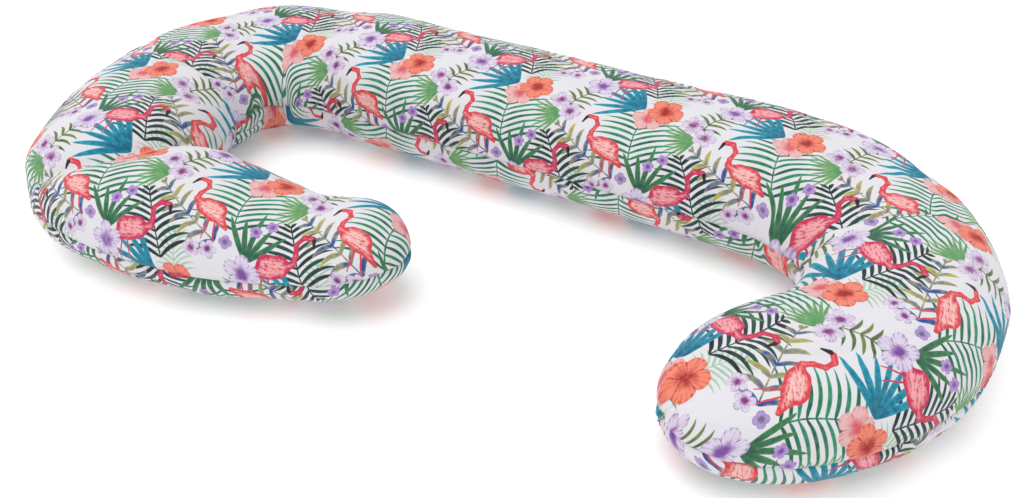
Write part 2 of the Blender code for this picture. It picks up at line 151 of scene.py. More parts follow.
class PillowStage(PropertyGroup):
    """The camera and the light."""

    eye: FloatVectorProperty(
        name="Camera place", description="Where the camera stands", subtype="TRANSLATION",
        unit="LENGTH", size=3, default=(0.590, -1.021, 0.877))
    heading: FloatProperty(
        name="Heading", description="The camera's turn from +Y towards -X, seen from above",
        subtype="ANGLE", unit="ROTATION", default=math.radians(28.11))
    pitch: FloatProperty(
        name="Pitch", description="How far the camera looks down from the horizon",
        subtype="ANGLE", unit="ROTATION", default=math.radians(37.37))
    lens: FloatProperty(
        name="Lens", description="Focal length in millimetres on a 36 mm frame",
        default=35.45, min=10.0)
    daylight: FloatProperty(
        name="Room light", description="Strength of the even light of the room",
        default=0.74, min=0.0)
    key: FloatProperty(
        name="Overhead light", description="Strength of the wide soft light overhead",
        default=1.6, min=0.0)


# ============================================================================ numpy surfaces
def eased(values, knots, at):
    """Values along knots, eased between neighbours with half a cosine."""
    values, knots = np.asarray(values), np.asarray(knots)
    k = np.clip(np.searchsorted(knots, at), 1, len(knots) - 1)
    share = np.clip((at - knots[k - 1]) / (knots[k] - knots[k - 1]), 0.0, 1.0)
    share = 0.5 - 0.5 * np.cos(np.pi * share)
    return values[k - 1] + (values[k] - values[k - 1]) * share


def signed_power(value, power):
    """A power of the value's size that keeps its sign."""
    return np.sign(value) * np.abs(value) ** power


def spine_line():
    """Distance, x, y, heading and bend of the spine at fine steps.

    The heading falls evenly over each run by its turn, a moving average over BEND_EASE softens
    it, and its cosine and sine summed along the way give the place. The straight back heads
    along +X.
    """
    count = int(round(TUBE_LENGTH / SPINE_STEP))
    along = np.linspace(0.0, TUBE_LENGTH, count + 1)
    step = along[1]
    heading = np.zeros_like(along)
    for (length, turn), start in zip(SPINE, RUN_ENDS):
        heading -= math.radians(turn) * np.clip((along - start) / length, 0.0, 1.0)
    reach = int(round(0.5 * BEND_EASE / step))
    padded = np.pad(heading, reach, mode="edge")
    heading = np.convolve(padded, np.ones(2 * reach + 1) / (2 * reach + 1), mode="valid")
    heading -= np.interp(MIDDLE, along, heading)
    mean = 0.5 * (heading[1:] + heading[:-1])
    x = np.concatenate([[0.0], np.cumsum(step * np.cos(mean))])
    y = np.concatenate([[0.0], np.cumsum(step * np.sin(mean))])
    return along, x, y, heading, -np.gradient(heading, step)


def tube(stations, angles):
    """The stuffed tube: points on a grid of stations along the spine and angles round it.

    A ring is a rounded ellipse of half width w across the spine, w times HEIGHT_RATIO high,
    its lower half cut flat by the floor. Both ends close as the root of one less a power of
    the distance from the tip. The outer seam is at angle 0, the top at a quarter turn.
    """
    along, x, y, heading, _bend = spine_line()
    ends = RUN_ENDS
    knots = (0.0, 0.5 * ends[1], 0.5 * (ends[1] + ends[2]), ends[4], ends[5], ends[6],
             0.5 * (ends[7] + ends[8]), ends[8], ends[9])
    wide = eased(HALF_WIDTHS, knots, stations)
    left = 1.0 - np.clip(1.0 - stations / TIP_LENGTHS[0], 0.0, 1.0) ** TIP_POWERS[0]
    right = np.clip(1.0 - (TUBE_LENGTH - stations) / TIP_LENGTHS[1], 0.0, 1.0)
    shut = np.sqrt(np.clip(left, 0.0, 1.0) * np.clip(1.0 - right ** TIP_POWERS[1], 0.0, 1.0))
    peak = ends[1] + HOOK_FULLNESS_AT * (ends[2] - ends[1])
    swell = HOOK_FULLNESS * np.exp(-((stations - peak) / HOOK_FULLNESS_REACH) ** 2)
    across = signed_power(np.cos(angles), ROUNDNESS)
    lift = signed_power(np.sin(angles), ROUNDNESS)
    drop = (HEIGHT_RATIO * SEAM_HEIGHT * wide)[:, None]
    rise = (HEIGHT_RATIO * (1.0 - SEAM_HEIGHT) * wide)[:, None]
    out = (wide * shut)[:, None] * across + swell[:, None] * np.maximum(across, 0.0)
    up = np.where(lift > 0.0, rise * lift, drop * np.maximum(lift / FLOOR_CUT, -1.0))
    turn = np.interp(stations, along, heading)[:, None]
    return np.stack([np.interp(stations, along, x)[:, None] - np.sin(turn) * out,
                     np.interp(stations, along, y)[:, None] + np.cos(turn) * out,
                     drop + up * (shut ** 0.8)[:, None]], axis=-1)


def ring_places(count):
    """Stations with cosine spacing inside both tips and even spacing between them."""
    bow = 1.0 - np.cos(np.linspace(0.0, 0.5 * np.pi, TIP_RINGS + 1))
    left, right = 0.5 * TIP_LENGTHS[0] * bow, TUBE_LENGTH - 0.5 * TIP_LENGTHS[1] * bow[::-1]
    middle = np.linspace(left[-1], right[0], count - 2 * TIP_RINGS)
    return np.concatenate([left[:-1], middle, right[1:]])


def angle_at(height, layer):
    """The angle round the straight back that lies a height above or below the outer seam."""
    share = 1.0 - SEAM_HEIGHT if layer == "upper" else SEAM_HEIGHT / FLOOR_CUT
    reach = HEIGHT_RATIO * HALF_WIDTHS[BACK_WIDTH] * share
    return np.arcsin((height / reach) ** (1.0 / ROUNDNESS))


def row_places(count):
    """Angles round the tube: the outer seam, the zip's edges, then even steps to the inner."""
    up, low = angle_at(SLOT_HALF, "upper"), angle_at(SLOT_HALF, "lower")
    half = count // 2
    top = np.concatenate([[0.0, 0.5 * up], np.linspace(up, np.pi, half - 1)])
    under = -np.concatenate([[0.5 * low], np.linspace(low, np.pi, half - 1)[:-1]])
    return np.concatenate([top, under[::-1]])


def surface_normals(grid):
    """Unit normals of a grid that is open along the tube and closed round it, outwards."""
    across = np.roll(grid, -1, axis=1) - np.roll(grid, 1, axis=1)
    normal = np.cross(np.gradient(grid, axis=0), across)
    length = np.linalg.norm(normal, axis=-1, keepdims=True)
    normal = normal / np.maximum(length, 1e-12)
    middle = grid.mean(axis=1, keepdims=True)
    inward = (normal * (grid - middle)).sum(axis=-1, keepdims=True).mean() < 0.0
    normal = -normal if inward else normal
    normal[0], normal[-1] = normal[1].mean(axis=0), normal[-2].mean(axis=0)
    return normal / np.maximum(np.linalg.norm(normal, axis=-1, keepdims=True), 1e-12)


def cubic_weights(share):
    """Weights of the four neighbours in Catmull-Rom interpolation."""
    square, cube = share * share, share ** 3
    return (-0.5 * share + square - 0.5 * cube, 1.0 - 2.5 * square + 1.5 * cube,
            0.5 * share + 2.0 * square - 1.5 * cube, -0.5 * square + 0.5 * cube)


def resample(values, place, axis, closed):
    """Values at fractional grid places along one axis, smoothly interpolated."""
    base = np.floor(place).astype(int)
    count = values.shape[axis]
    total = 0.0
    shape = [1] * values.ndim
    shape[axis] = len(place)
    for k, weight in enumerate(cubic_weights(place - base)):
        index = base + k - 1
        index = index % count if closed else np.clip(index, 0, count - 1)
        total = total + np.take(values, index, axis=axis) * weight.reshape(shape)
    return total


LATTICE = 512


def ripple(u, v, cell_u, cell_v, seed):
    """Smooth noise from -1 to 1: random heights on a lattice of cells, eased between them."""
    gu, gv = np.asarray(u) / cell_u, np.asarray(v) / cell_v
    gu, gv = np.broadcast_arrays(gu, gv)
    iu, iv = np.floor(gu).astype(int), np.floor(gv).astype(int)
    fu, fv = gu - iu, gv - iv
    fu, fv = fu * fu * (3.0 - 2.0 * fu), fv * fv * (3.0 - 2.0 * fv)
    table = np.random.default_rng(seed).uniform(-1.0, 1.0, (LATTICE, LATTICE))

    def at(a, b):
        return table[a % LATTICE, b % LATTICE]

    low = at(iu, iv) * (1.0 - fu) + at(iu + 1, iv) * fu
    high = at(iu, iv + 1) * (1.0 - fu) + at(iu + 1, iv + 1) * fu
    return low * (1.0 - fv) + high * fv


def bell(value, width):
    """One at zero, falling off on both sides over a width."""
    return np.exp(-(value / width) ** 2)


# ============================================================================= the cloth skin
def cell_faces(rings, rows):
    """Corner numbers of the tube's cells, on a grid numbered ring by ring."""
    i, j = np.meshgrid(np.arange(rings - 1), np.arange(rows), indexing="ij")
    k = (j + 1) % rows
    return np.stack([i * rows + j, i * rows + k, (i + 1) * rows + k, (i + 1) * rows + j],
                    axis=-1)


def real_corners(faces):
    """Which corners of four-cornered faces differ from the next one: a tip's cells have three."""
    return np.stack([faces[:, k] != faces[:, (k + 1) % 4] for k in range(4)], axis=1)


def polygon_mesh(name, points, corners, sizes, smooth=True):
    """A mesh from its polygons' corners, one polygon after the other, and their sizes."""
    mesh = bpy.data.meshes.new(name)
    mesh.vertices.add(len(points))
    mesh.vertices.foreach_set("co", points.astype(np.float32).ravel())
    mesh.loops.add(len(corners))
    mesh.loops.foreach_set("vertex_index", corners.astype(np.int32))
    mesh.polygons.add(len(sizes))
    starts = np.concatenate([[0], np.cumsum(sizes)[:-1]])
    mesh.polygons.foreach_set("loop_start", starts.astype(np.int32))
    mesh.polygons.foreach_set("use_smooth", np.broadcast_to(smooth, len(sizes)).copy())
    mesh.update(calc_edges=True)
    return mesh


def tube_mesh(name, points):
    """The closed mesh of a grid of points round a tube, and which points it uses."""
    rings, rows = points.shape[:2]
    faces = merged_tips(cell_faces(rings, rows).reshape(-1, 4), rings, rows)
    used, inverse = np.unique(faces, return_inverse=True)
    faces = inverse.reshape(faces.shape)
    real = real_corners(faces)
    return polygon_mesh(name, points.reshape(-1, 3)[used], faces[real], real.sum(axis=1)), used


def merged_tips(faces, rings, rows):
    """The same corner numbers with each tip's ring drawn together into its first point."""
    faces = np.where(faces < rows, 0, faces)
    last = (rings - 1) * rows
    return np.where(faces >= last, last, faces)


def add_object(name, data, material=None):
    """A new object in the scene, with its material."""
    made = bpy.data.objects.new(name, data)
    bpy.context.scene.collection.objects.link(made)
    if material:
        data.materials.append(material)
    return made


def stand_for(piece, node):
    """Lets a piece ride on the pillow in place of one of the frame's nodes."""
    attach(piece, "pillow")
    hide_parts(node)


SETTLING_RINGS, SETTLING_ROWS = 236, 64
SETTLING_FRAMES = 20
ON_FLOOR = 0.0005            # cloth lower than this is held where it rests


def settle(grid, seams, cloth):
    """How the cloth solver moves the tube's grid under pressure, capped.

    The grid becomes one closed cloth. Its panels are cut a little large and its seams are
    sewn tight, so the solver gathers the cloth beside them.
    """
    rings, rows = grid.shape[:2]
    mesh, used = tube_mesh("settling", grid)
    body = add_object("settling", mesh)
    tight = body.vertex_groups.new(name="tight")
    held = body.vertex_groups.new(name="held")
    flat = seams.reshape(-1)[used]
    on_floor = grid.reshape(-1, 3)[used][:, 2] < ON_FLOOR
    for level in (0.35, 0.7, 1.0):
        chosen = np.nonzero((flat > level - 0.2) & (flat <= level + 0.15))[0]
        tight.add(chosen.tolist(), level, "REPLACE")
    held.add(np.nonzero(on_floor)[0].tolist(), 1.0, "REPLACE")
    solver = body.modifiers.new("settling", "CLOTH")
    rules = solver.settings
    rules.quality = 6
    rules.mass = 0.25
    rules.tension_stiffness = rules.compression_stiffness = 12.0
    rules.shear_stiffness = 6.0
    rules.bending_stiffness = 0.35
    rules.use_pressure = True
    rules.uniform_pressure_force = cloth.pressure
    rules.effector_weights.gravity = 0.0
    rules.vertex_group_mass = "held"
    rules.vertex_group_shrink = "tight"
    rules.shrink_min = -0.015
    rules.shrink_max = 0.025
    rules.air_damping = 4.0
    solver.collision_settings.use_collision = False
    solver.point_cache.frame_start = 1
    solver.point_cache.frame_end = SETTLING_FRAMES
    scene = bpy.context.scene
    for number in range(1, SETTLING_FRAMES + 1):
        scene.frame_set(number)
    shape = body.evaluated_get(bpy.context.evaluated_depsgraph_get())
    moved = np.empty(len(used) * 3, dtype=np.float32)
    shape.data.vertices.foreach_get("co", moved)
    scene.frame_set(1)
    bpy.data.objects.remove(body, do_unlink=True)
    bpy.data.meshes.remove(mesh)
    shift = np.zeros((rings * rows, 3))
    shift[used] = moved.reshape(-1, 3) - grid.reshape(-1, 3)[used]
    shift[:rows], shift[-rows:] = shift[0], shift[(rings - 1) * rows]
    length = np.linalg.norm(shift, axis=-1, keepdims=True)
    cap = cloth.most_move
    shift *= cap * np.tanh(length / cap) / np.maximum(length, 1e-9)
    return shift.reshape(rings, rows, 3)


STILL_END, STILL_SIDE, STILL_FADE = 0.006, 0.019, 0.030
LOWEST = 0.002               # cloth pressed lower than this is eased towards the floor
GROOVE = 0.0036              # half width of the groove that a seam draws
# Gathers beside the side seam: the length of the fine, the broad and the loose and tight
# stretches of them, and how far they reach from the seam. Then those of the two cross seams.
FINE_GATHER, BROAD_GATHER, GATHER_RUN, GATHER_REACH = 0.0085, 0.017, 0.11, 0.017
CROSS_DEPTH, CROSS_GATHER, CROSS_REACH = 0.55, 0.012, 0.014
SIDE_DRIFT = 0.006           # how far the gathers of a seam's two sides are out of step
TIGHT_BEND = 5.0             # the bend, per metre, that makes the inner gathers highest
TIGHT_GAIN = 1.3             # how much higher they get there
# Lumps of the filling: length along the tube, length round it, share of the height, seed.
LUMPS = ((0.105, 0.085, 1.0, 31), (0.048, 0.044, 0.5, 37))
SEAM_PULL = 0.012            # how far from a seam its sewing still tightens the cloth
BEND_SHARE = 0.80            # how much of a bend's radius the flat cloth may fill
LEAST_BEND = 0.3             # a spine that bends less, per metre, counts as bent this much
UNBOUND = 10.0               # on the outside of a bend the flat cloth is free


class Skin:
    """The finished skin of the cover on its grid, with everything that follows it."""

    def __init__(self, cloth, rings=None, rows=None, coarse=False):
        rings, rows = rings or cloth.rings, rows or cloth.rows
        self.stations = ring_places(rings)
        self.angles = row_places(rows)
        self.points = tube(self.stations, self.angles)
        self.half = rows // 2
        self.shift = self._frame_shift()
        self.points = self.points + self.shift
        self.normals = surface_normals(self.points)
        self._measure()
        self._zip_window()
        if not coarse:
            self._soften(cloth)

    def _frame_shift(self):
        """The move that lays the tube over the frame: its ends in x, its straight back in y."""
        boxes = [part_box("cover_%s_%s" % (layer, side))
                 for layer in ("top", "bottom") for side in ("left", "back", "right")]
        low = np.min([box[0] for box in boxes], axis=0)
        high = np.max([box[1] for box in boxes], axis=0)
        mine = self.points.reshape(-1, 3)
        middle = 0.5 * (mine.min(axis=0) + mine.max(axis=0))
        return np.array([0.5 * (low[0] + high[0]) - middle[0],
                         high[1] - self.points[self.ring_at(MIDDLE), 0, 1], 0.0])

    def _measure(self):
        """Distances over the surface, round each ring and along each row."""
        side = np.linalg.norm(np.roll(self.points, -1, axis=1) - self.points, axis=-1)
        walk = np.concatenate([np.zeros((len(side), 1)), np.cumsum(side, axis=1)], axis=1)
        girth, walk = walk[:, -1:], walk[:, :-1]
        seam = walk[:, self.half:self.half + 1]
        back = girth - walk
        back[:, 0] = 0.0
        self.upper = np.arange(walk.shape[1]) <= self.half
        self.arcs = {"top": (walk, seam), "bottom": (back, girth - seam)}
        self.from_outer = np.minimum(walk, back)
        self.from_inner = np.abs(walk - seam)
        self.round = np.where(self.upper, walk, -back)
        self.half_girth = np.where(self.upper, seam, girth - seam)
        ahead = np.linalg.norm(np.diff(self.points, axis=0), axis=-1)
        self.along = np.concatenate([np.zeros((1, ahead.shape[1])), np.cumsum(ahead, axis=0)])

    def ring_at(self, station):
        return int(np.argmin(np.abs(self.stations - station)))

    def _zip_window(self):
        """One beside the zip, falling to nothing over STILL_FADE: the cloth lies still there."""
        first = RUN_ENDS[STRAIGHT_RUN] + ZIP_MARGIN
        last = RUN_ENDS[STRAIGHT_RUN + 1] - ZIP_MARGIN
        self.zip_rings = (self.ring_at(first), self.ring_at(last))
        beyond = np.maximum(np.maximum(first - self.stations, self.stations - last), 0.0)
        away = np.hypot(np.maximum(beyond - STILL_END, 0.0)[:, None],
                        np.maximum(self.from_outer - STILL_SIDE, 0.0))
        share = np.clip(away / STILL_FADE, 0.0, 1.0)
        self.still = 1.0 - share ** 2 * (3.0 - 2.0 * share)

    def _soften(self, cloth):
        """Settles the skin, then presses in seams, puckers, creases and lumps."""
        shift = self._settled(cloth)
        free = (1.0 - self.still)[..., None]
        inward = np.minimum((shift * self.normals).sum(axis=-1, keepdims=True), 0.0)
        shift -= self.normals * inward * bell(self.from_outer, 0.05)[..., None]
        self.points = self.points + shift * free
        self.points[..., 2] = np.maximum(self.points[..., 2], 0.0)
        self.normals = surface_normals(self.points)
        height = self._seams(cloth) + self._creases(cloth) + self._lumps(cloth)
        self.points = self.points + self.normals * (height * (1.0 - self.still))[..., None]
        up = self.points[..., 2]
        self.points[..., 2] = np.where(up < LOWEST, LOWEST * np.exp(up / LOWEST - 1.0), up)
        self.normals = surface_normals(self.points)

    def _settled(self, cloth):
        """How the cloth solver moves a coarse copy of the skin, read at the skin's own points."""
        coarse = Skin(cloth, SETTLING_RINGS, SETTLING_ROWS, coarse=True)
        seams = np.maximum(bell(coarse.from_outer, SEAM_PULL), bell(coarse.from_inner, SEAM_PULL))
        shift = settle(coarse.points, seams, cloth)
        place = np.interp(self.stations, coarse.stations, np.arange(float(SETTLING_RINGS)))
        theirs, mine = coarse.angles % (2.0 * np.pi), self.angles % (2.0 * np.pi)
        spot = np.interp(mine, np.append(theirs, 2.0 * np.pi), np.arange(SETTLING_ROWS + 1.0))
        return resample(resample(shift, place, 0, False), spot, 1, True)

    def _seams(self, cloth):
        """Grooves of the side seam and of the two seams across the tube, with their gathers.

        A gather's height is smooth noise along the seam that dies away with the distance from
        it. On the inner seam it grows with the spine's bend, up to TIGHT_BEND.
        """
        along = self.stations[:, None]
        spine = spine_line()
        bend = np.interp(self.stations, spine[0], spine[4])[:, None]
        height = np.zeros(self.points.shape[:2])
        for distance, seed, tight in ((self.from_outer, 3, 0.0), (self.from_inner, 5, 1.0)):
            height -= cloth.seam_depth * bell(distance, GROOVE)
            for side, keep in ((0, self.upper), (1, ~self.upper)):
                drift = along + SIDE_DRIFT * side
                wave = ripple(drift, 0.0 * distance, FINE_GATHER, 1.0, seed + side)
                wave += 0.7 * ripple(drift + 0.15 * distance, distance, BROAD_GATHER, 0.03,
                                     seed + 7)
                strength = 0.45 + 0.55 * ripple(along, 0.0 * along, GATHER_RUN, 1.0, seed + 13)
                swelling = TIGHT_GAIN * tight * np.clip(bend / TIGHT_BEND, 0.0, 1.0)
                strength = strength * (1.0 + swelling)
                gather = cloth.pucker * wave * strength * np.exp(-distance / GATHER_REACH)
                height += np.where(keep, gather * (1.0 - 0.4 * bell(distance, 0.002)), 0.0)
        for ring, seed in ((self.ring_at(LEFT_MITRE), 21), (self.ring_at(RIGHT_MITRE), 23)):
            distance = np.abs(self.along - self.along[ring])
            height -= CROSS_DEPTH * cloth.seam_depth * bell(distance, GROOVE)
            wave = ripple(self.round, 0.0 * self.round, CROSS_GATHER, 1.0, seed)
            height += 0.5 * cloth.pucker * wave * np.exp(-distance / CROSS_REACH)
        return height

    def _creases(self, cloth):
        """Folds that start at the inner corners, where the bent tube is squeezed.

        A fold's line starts at a station on the inner seam and drifts along the tube with the
        square of the share of the way over the top. Its valley falls off with a power of the
        distance from that line, with a swell beyond it, and gets shallower over the top.
        """
        height = np.zeros(self.points.shape[:2])
        share = self.from_inner / np.maximum(self.half_girth, 1e-6)
        stretch = np.gradient(self.along, axis=0) / np.gradient(self.stations)[:, None]
        for station, drift, depth, reach, outer, width, power in FOLDS:
            line = station + drift * share ** 2 + 0.004 * np.sin(9.0 * share)
            distance = np.abs(self.stations[:, None] - line) * np.maximum(stretch, 0.35)
            fade = np.clip(1.0 - share / reach, 0.0, 1.0) ** 0.7
            fade = outer * np.clip((1.0 - share) / 0.10, 0.0, 1.0) + (1.0 - outer) * fade
            fade = np.where(self.upper, fade, 0.5 * fade)
            fold = SWELL * bell(distance - SWELL_PLACE * width, SWELL_WIDTH * width)
            height += cloth.crease * depth * fade * (fold - np.exp(-(distance / width) ** power))
        return height

    def _lumps(self, cloth):
        """Broad unevenness of the filling, stretched along the tube."""
        calm = 1.0 - 0.6 * bell(np.minimum(self.from_outer, self.from_inner), 0.03)
        lumps = sum(share * ripple(self.along, self.round, length, width, seed)
                    for length, width, share, seed in LUMPS)
        return cloth.dimple * lumps * calm

    def flat(self, layer):
        """Where each point lay in the flat cloth of the top or bottom layer, in metres.

        The cloth unrolls sideways from the tube's middle line by its distance over the
        surface. Inside a bend that distance is eased below the bend's radius, so that the
        cloth never folds back over itself.
        """
        along, x, y, heading, bend = spine_line()
        arc, half = self.arcs[layer]
        offset = 0.5 * half - arc
        curve = np.interp(self.stations, along, bend)[:, None]
        limit = np.where(offset < 0.0, BEND_SHARE / np.maximum(curve, LEAST_BEND), UNBOUND)
        offset = offset / (1.0 + np.abs(offset / limit) ** 4) ** 0.25
        turn = np.interp(self.stations, along, heading)[:, None]
        flat_x = np.interp(self.stations, along, x)[:, None] - np.sin(turn) * offset
        flat_y = np.interp(self.stations, along, y)[:, None] + np.cos(turn) * offset
        return np.stack([flat_x + self.shift[0], flat_y + self.shift[1]], axis=-1)


# Folds: station on the inner seam, drift along the tube by the outer seam, depth as a share of
# the crease depth, how far over the top it reaches as a share of the half girth, what is left
# of it at the outer seam, width, sharpness. The swell beside a fold has a share of the
# fold's depth, and its place and its width are multiples of the fold's width.
SWELL, SWELL_PLACE, SWELL_WIDTH = 0.16, 2.6, 1.3
FOLDS = (
    (0.397, 0.075, 1.00, 1.05, 0.30, 0.026, 1.1),
    (0.330, -0.020, 0.14, 0.40, 0.0, 0.012, 1.0),
    (0.745, -0.030, 0.42, 0.42, 0.0, 0.013, 1.0),
    (0.790, 0.030, 0.26, 0.34, 0.0, 0.010, 1.0),
    (0.700, -0.060, 0.22, 0.30, 0.0, 0.010, 1.0),
    (1.975, 0.020, 0.40, 0.46, 0.0, 0.014, 1.1),
    (2.030, 0.050, 0.22, 0.34, 0.0, 0.011, 1.0),
    (1.915, -0.040, 0.20, 0.34, 0.0, 0.011, 1.0),
)


@functools.cache
def skin():
    """The cover's skin, made once and used by every piece."""
    return Skin(bpy.context.scene.pillow_cloth)


def border_edges(corners, sizes):
    """Both ends of the polygons' edges that no neighbour shares: the patch's border."""
    starts = np.concatenate([[0], np.cumsum(sizes)[:-1]])
    following = np.arange(len(corners)) + 1
    following[starts + sizes - 1] = starts
    first, second = corners.astype(np.int64), corners[following].astype(np.int64)
    top = first.max() + 1
    lone = ~np.isin(first * top + second, second * top + first)
    return first[lone], second[lone]


def shell(name, grid, outer, inner, keep, flat, material, baked=False):
    """A closed layer of cloth: the kept cells of a grid at two depths, joined by a rim.

    grid gives the corner numbers of the cells; outer and inner hold the points at the two
    depths, and flat each point's place in the flat cloth. The inner cells are turned round
    and each border edge gets one flat rim quad. A baked layer also gets its export map.
    """
    used, inverse = np.unique(grid[keep], return_inverse=True)
    cells = inverse.reshape(-1, 4)
    cells = cells[real_corners(cells).sum(axis=1) > 2]
    real = real_corners(cells)
    top, sizes = cells[real], real.sum(axis=1)
    turned = cells[:, ::-1]
    under = turned[real_corners(turned)] + len(used)
    a, b = border_edges(top, sizes)
    rim = np.stack([b, a, a + len(used), b + len(used)], axis=1).ravel()
    corners = np.concatenate([top, under, rim])
    counts = np.concatenate([sizes, sizes, np.full(len(a), 4)])
    points = np.concatenate([outer.reshape(-1, 3)[used], inner.reshape(-1, 3)[used]])
    mesh = polygon_mesh(name, points, corners, counts, np.arange(len(counts)) < 2 * len(sizes))
    place = flat.reshape(-1, 2)[used]
    place = np.concatenate([place, place])[corners]
    layer = mesh.uv_layers.new(name="fabric")
    layer.uv.foreach_set("vector", place.astype(np.float32).ravel())
    if baked:
        layer = mesh.uv_layers.new(name="OFBake")
        sheet = laid_out(place, corners >= len(used), len(top), len(under))
        layer.uv.foreach_set("vector", sheet.astype(np.float32).ravel())
    return add_object(name, mesh, material)


# The export map in the unit square: the seen side above, the lining below, the rim between.
MAP_EDGE = 0.01
SEEN_BAND, LINING_BAND = (0.20, 0.99), (0.01, 0.17)
RIM_LINES = (0.180, 0.188)   # the rim's inner and outer edge


def laid_out(flat, inside, top, under):
    """Places in the export map: the cloth's flat shape, once for each of its two sides."""
    low, high = flat.min(axis=0), flat.max(axis=0)
    share = (flat - low) / (high - low)
    place = np.empty_like(share)
    place[:, 0] = MAP_EDGE + (1.0 - 2.0 * MAP_EDGE) * share[:, 0]
    for part, band in ((slice(0, top), SEEN_BAND), (slice(top, top + under), LINING_BAND)):
        place[part, 1] = band[0] + (band[1] - band[0]) * share[part, 1]
    place[top + under:, 1] = np.where(inside[top + under:], *RIM_LINES)
    return place


def surface_area(piece):
    """The area of all of a piece's faces, in square metres."""
    areas = np.empty(len(piece.data.polygons), dtype=np.float32)
    piece.data.polygons.foreach_get("area", areas)
    return float(areas.sum())


def declare_sheet(piece, flat):
    """Declares a layer of cloth round the filling; both its faces count in its mesh's area."""
    width, length = np.ptp(flat.reshape(-1, 2), axis=0)
    area = min(0.5 * surface_area(piece), width * length)


class Value:
    """A node's output that is used in formulas like a number."""

    def __init__(self, nodes, socket):
        self.nodes, self.socket = nodes, socket

    def __add__(self, other):
        return self.nodes.math("ADD", self, other)

    def __sub__(self, other):
        return self.nodes.math("SUBTRACT", self, other)

    def __rsub__(self, other):
        return self.nodes.math("SUBTRACT", other, self)

    def __mul__(self, other):
        return self.nodes.math("MULTIPLY", self, other)

    def __truediv__(self, other):
        return self.nodes.math("DIVIDE", self, other)

    def __pow__(self, other):
        return self.nodes.math("POWER", self, other)

    def __abs__(self):
        return self.nodes.math("ABSOLUTE", self)


class Nodes:
    """Short calls that add nodes to a tree and link them; a plain value is set, not linked."""

    def __init__(self, tree):
        self.tree = tree

    def add(self, kind, inputs=(), out=0, **settings):
        """A new node's output; with out=None, the node itself."""
        node = self.tree.nodes.new(kind)
        for key, value in settings.items():
            setattr(node, key, value)
        for key, value in dict(inputs).items():
            self.put(node.inputs[key], value)
        return node if out is None else Value(self, node.outputs[out])

    def put(self, socket, value):
        if isinstance(value, Value):
            self.tree.links.new(value.socket, socket)
        elif value is not None:
            socket.default_value = value

    def math(self, operation, a, b=None, c=None, clamp=False):
        return self.add("ShaderNodeMath", {0: a, 1: b, 2: c}, operation=operation,
                        use_clamp=clamp)

    def vector(self, operation, a, b=None, c=None, scale=None, out=0):
        return self.add("ShaderNodeVectorMath", {0: a, 1: b, 2: c, 3: scale}, out,
                        operation=operation)

    def length(self, a):
        return self.vector("LENGTH", a, out=1)

    def dot(self, a, b):
        return self.vector("DOT_PRODUCT", a, b, out=1)

    def within(self, value, low, high):
        """The value, kept between two bounds."""
        return self.math("MAXIMUM", self.math("MINIMUM", value, high), low)

    def step(self, value, low, high, start=0.0, end=1.0):
        """Eased from start to end as value goes from low to high."""
        return self.add("ShaderNodeMapRange", {0: value, 1: low, 2: high, 3: start, 4: end},
                        interpolation_type="SMOOTHSTEP")

    def mix(self, share, a, b):
        return self.add("ShaderNodeMix", {0: share, 6: a, 7: b}, 2, data_type="RGBA")

    def noise(self, place, scale, detail, roughness=None, distortion=None):
        return self.add("ShaderNodeTexNoise", {"Vector": place, "Scale": scale, "Detail": detail,
                                               "Roughness": roughness, "Distortion": distortion})

    def bump(self, height, strength, distance):
        return self.add("ShaderNodeBump", {"Height": height, "Strength": strength,
                                           "Distance": distance})

    def split(self, vector):
        node = self.add("ShaderNodeSeparateXYZ", {0: vector}, None)
        return [Value(self, socket) for socket in node.outputs]

    def group(self, tree, inputs):
        """A node group's outputs by name."""
        node = self.add("ShaderNodeGroup", (), None, node_tree=tree)
        for key, value in inputs.items():
            self.put(node.inputs[key], value)
        return {socket.name: Value(self, socket) for socket in node.outputs}


def new_group(name, inputs, outputs):
    """An empty shader group: its tree, its helper, its inputs by name and its output sockets.

    The inputs and the outputs are given as words, each a socket's name and its kind.
    """
    tree = bpy.data.node_groups.new(name, "ShaderNodeTree")
    for side, words in (("INPUT", inputs), ("OUTPUT", outputs)):
        for word in words.split():
            label, kind = word.split(":")
            tree.interface.new_socket(name=label, in_out=side, socket_type="NodeSocket" + kind)
    n = Nodes(tree)
    given = {socket.name: Value(n, socket)
             for socket in tree.nodes.new("NodeGroupInput").outputs if socket.name}
    return tree, n, given, tree.nodes.new("NodeGroupOutput").inputs


def shared(maker):
    """The node group that a maker builds, built once and named by its docstring's start."""
    name = maker.__doc__.split(":")[0]
    return bpy.data.node_groups.get(name) or maker(name)


# ========================================================================= the printed motifs
CRISP = (0.0001, 0.0007)     # how far inside a leaf's edge its colour starts and is full
RIDGE = 0.0004               # keeps a leaf's ridge soft where the leaf is thinnest
FAR = 9.0                    # a wrap that the print never reaches
TURN_SPREAD = 0.381          # steps through the tones so that neighbouring leaves differ


def place_group(name):
    """print place: local coordinates round the nearest repeat of a motif, turned."""
    tree, n, given, end = new_group(name, "Vector:Vector Centre:Vector Turn:Float",
                                    "Vector:Vector")
    moved = n.vector("SUBTRACT", given["Vector"], given["Centre"])
    row = n.math("ROUND", n.split(moved)[1] * (-1.0 / ROW_HEIGHT))
    drop = n.vector("SCALE", (ROW_SHIFT, -ROW_HEIGHT, 0.0), scale=row)
    moved = n.vector("WRAP", n.vector("SUBTRACT", moved, drop), (0.5 * REPEAT, FAR, FAR),
                     (-0.5 * REPEAT, -FAR, -FAR))
    turned = n.add("ShaderNodeVectorRotate", {"Vector": moved, "Angle": given["Turn"]},
                   rotation_type="Z_AXIS")
    n.put(end["Vector"], turned)
    return tree


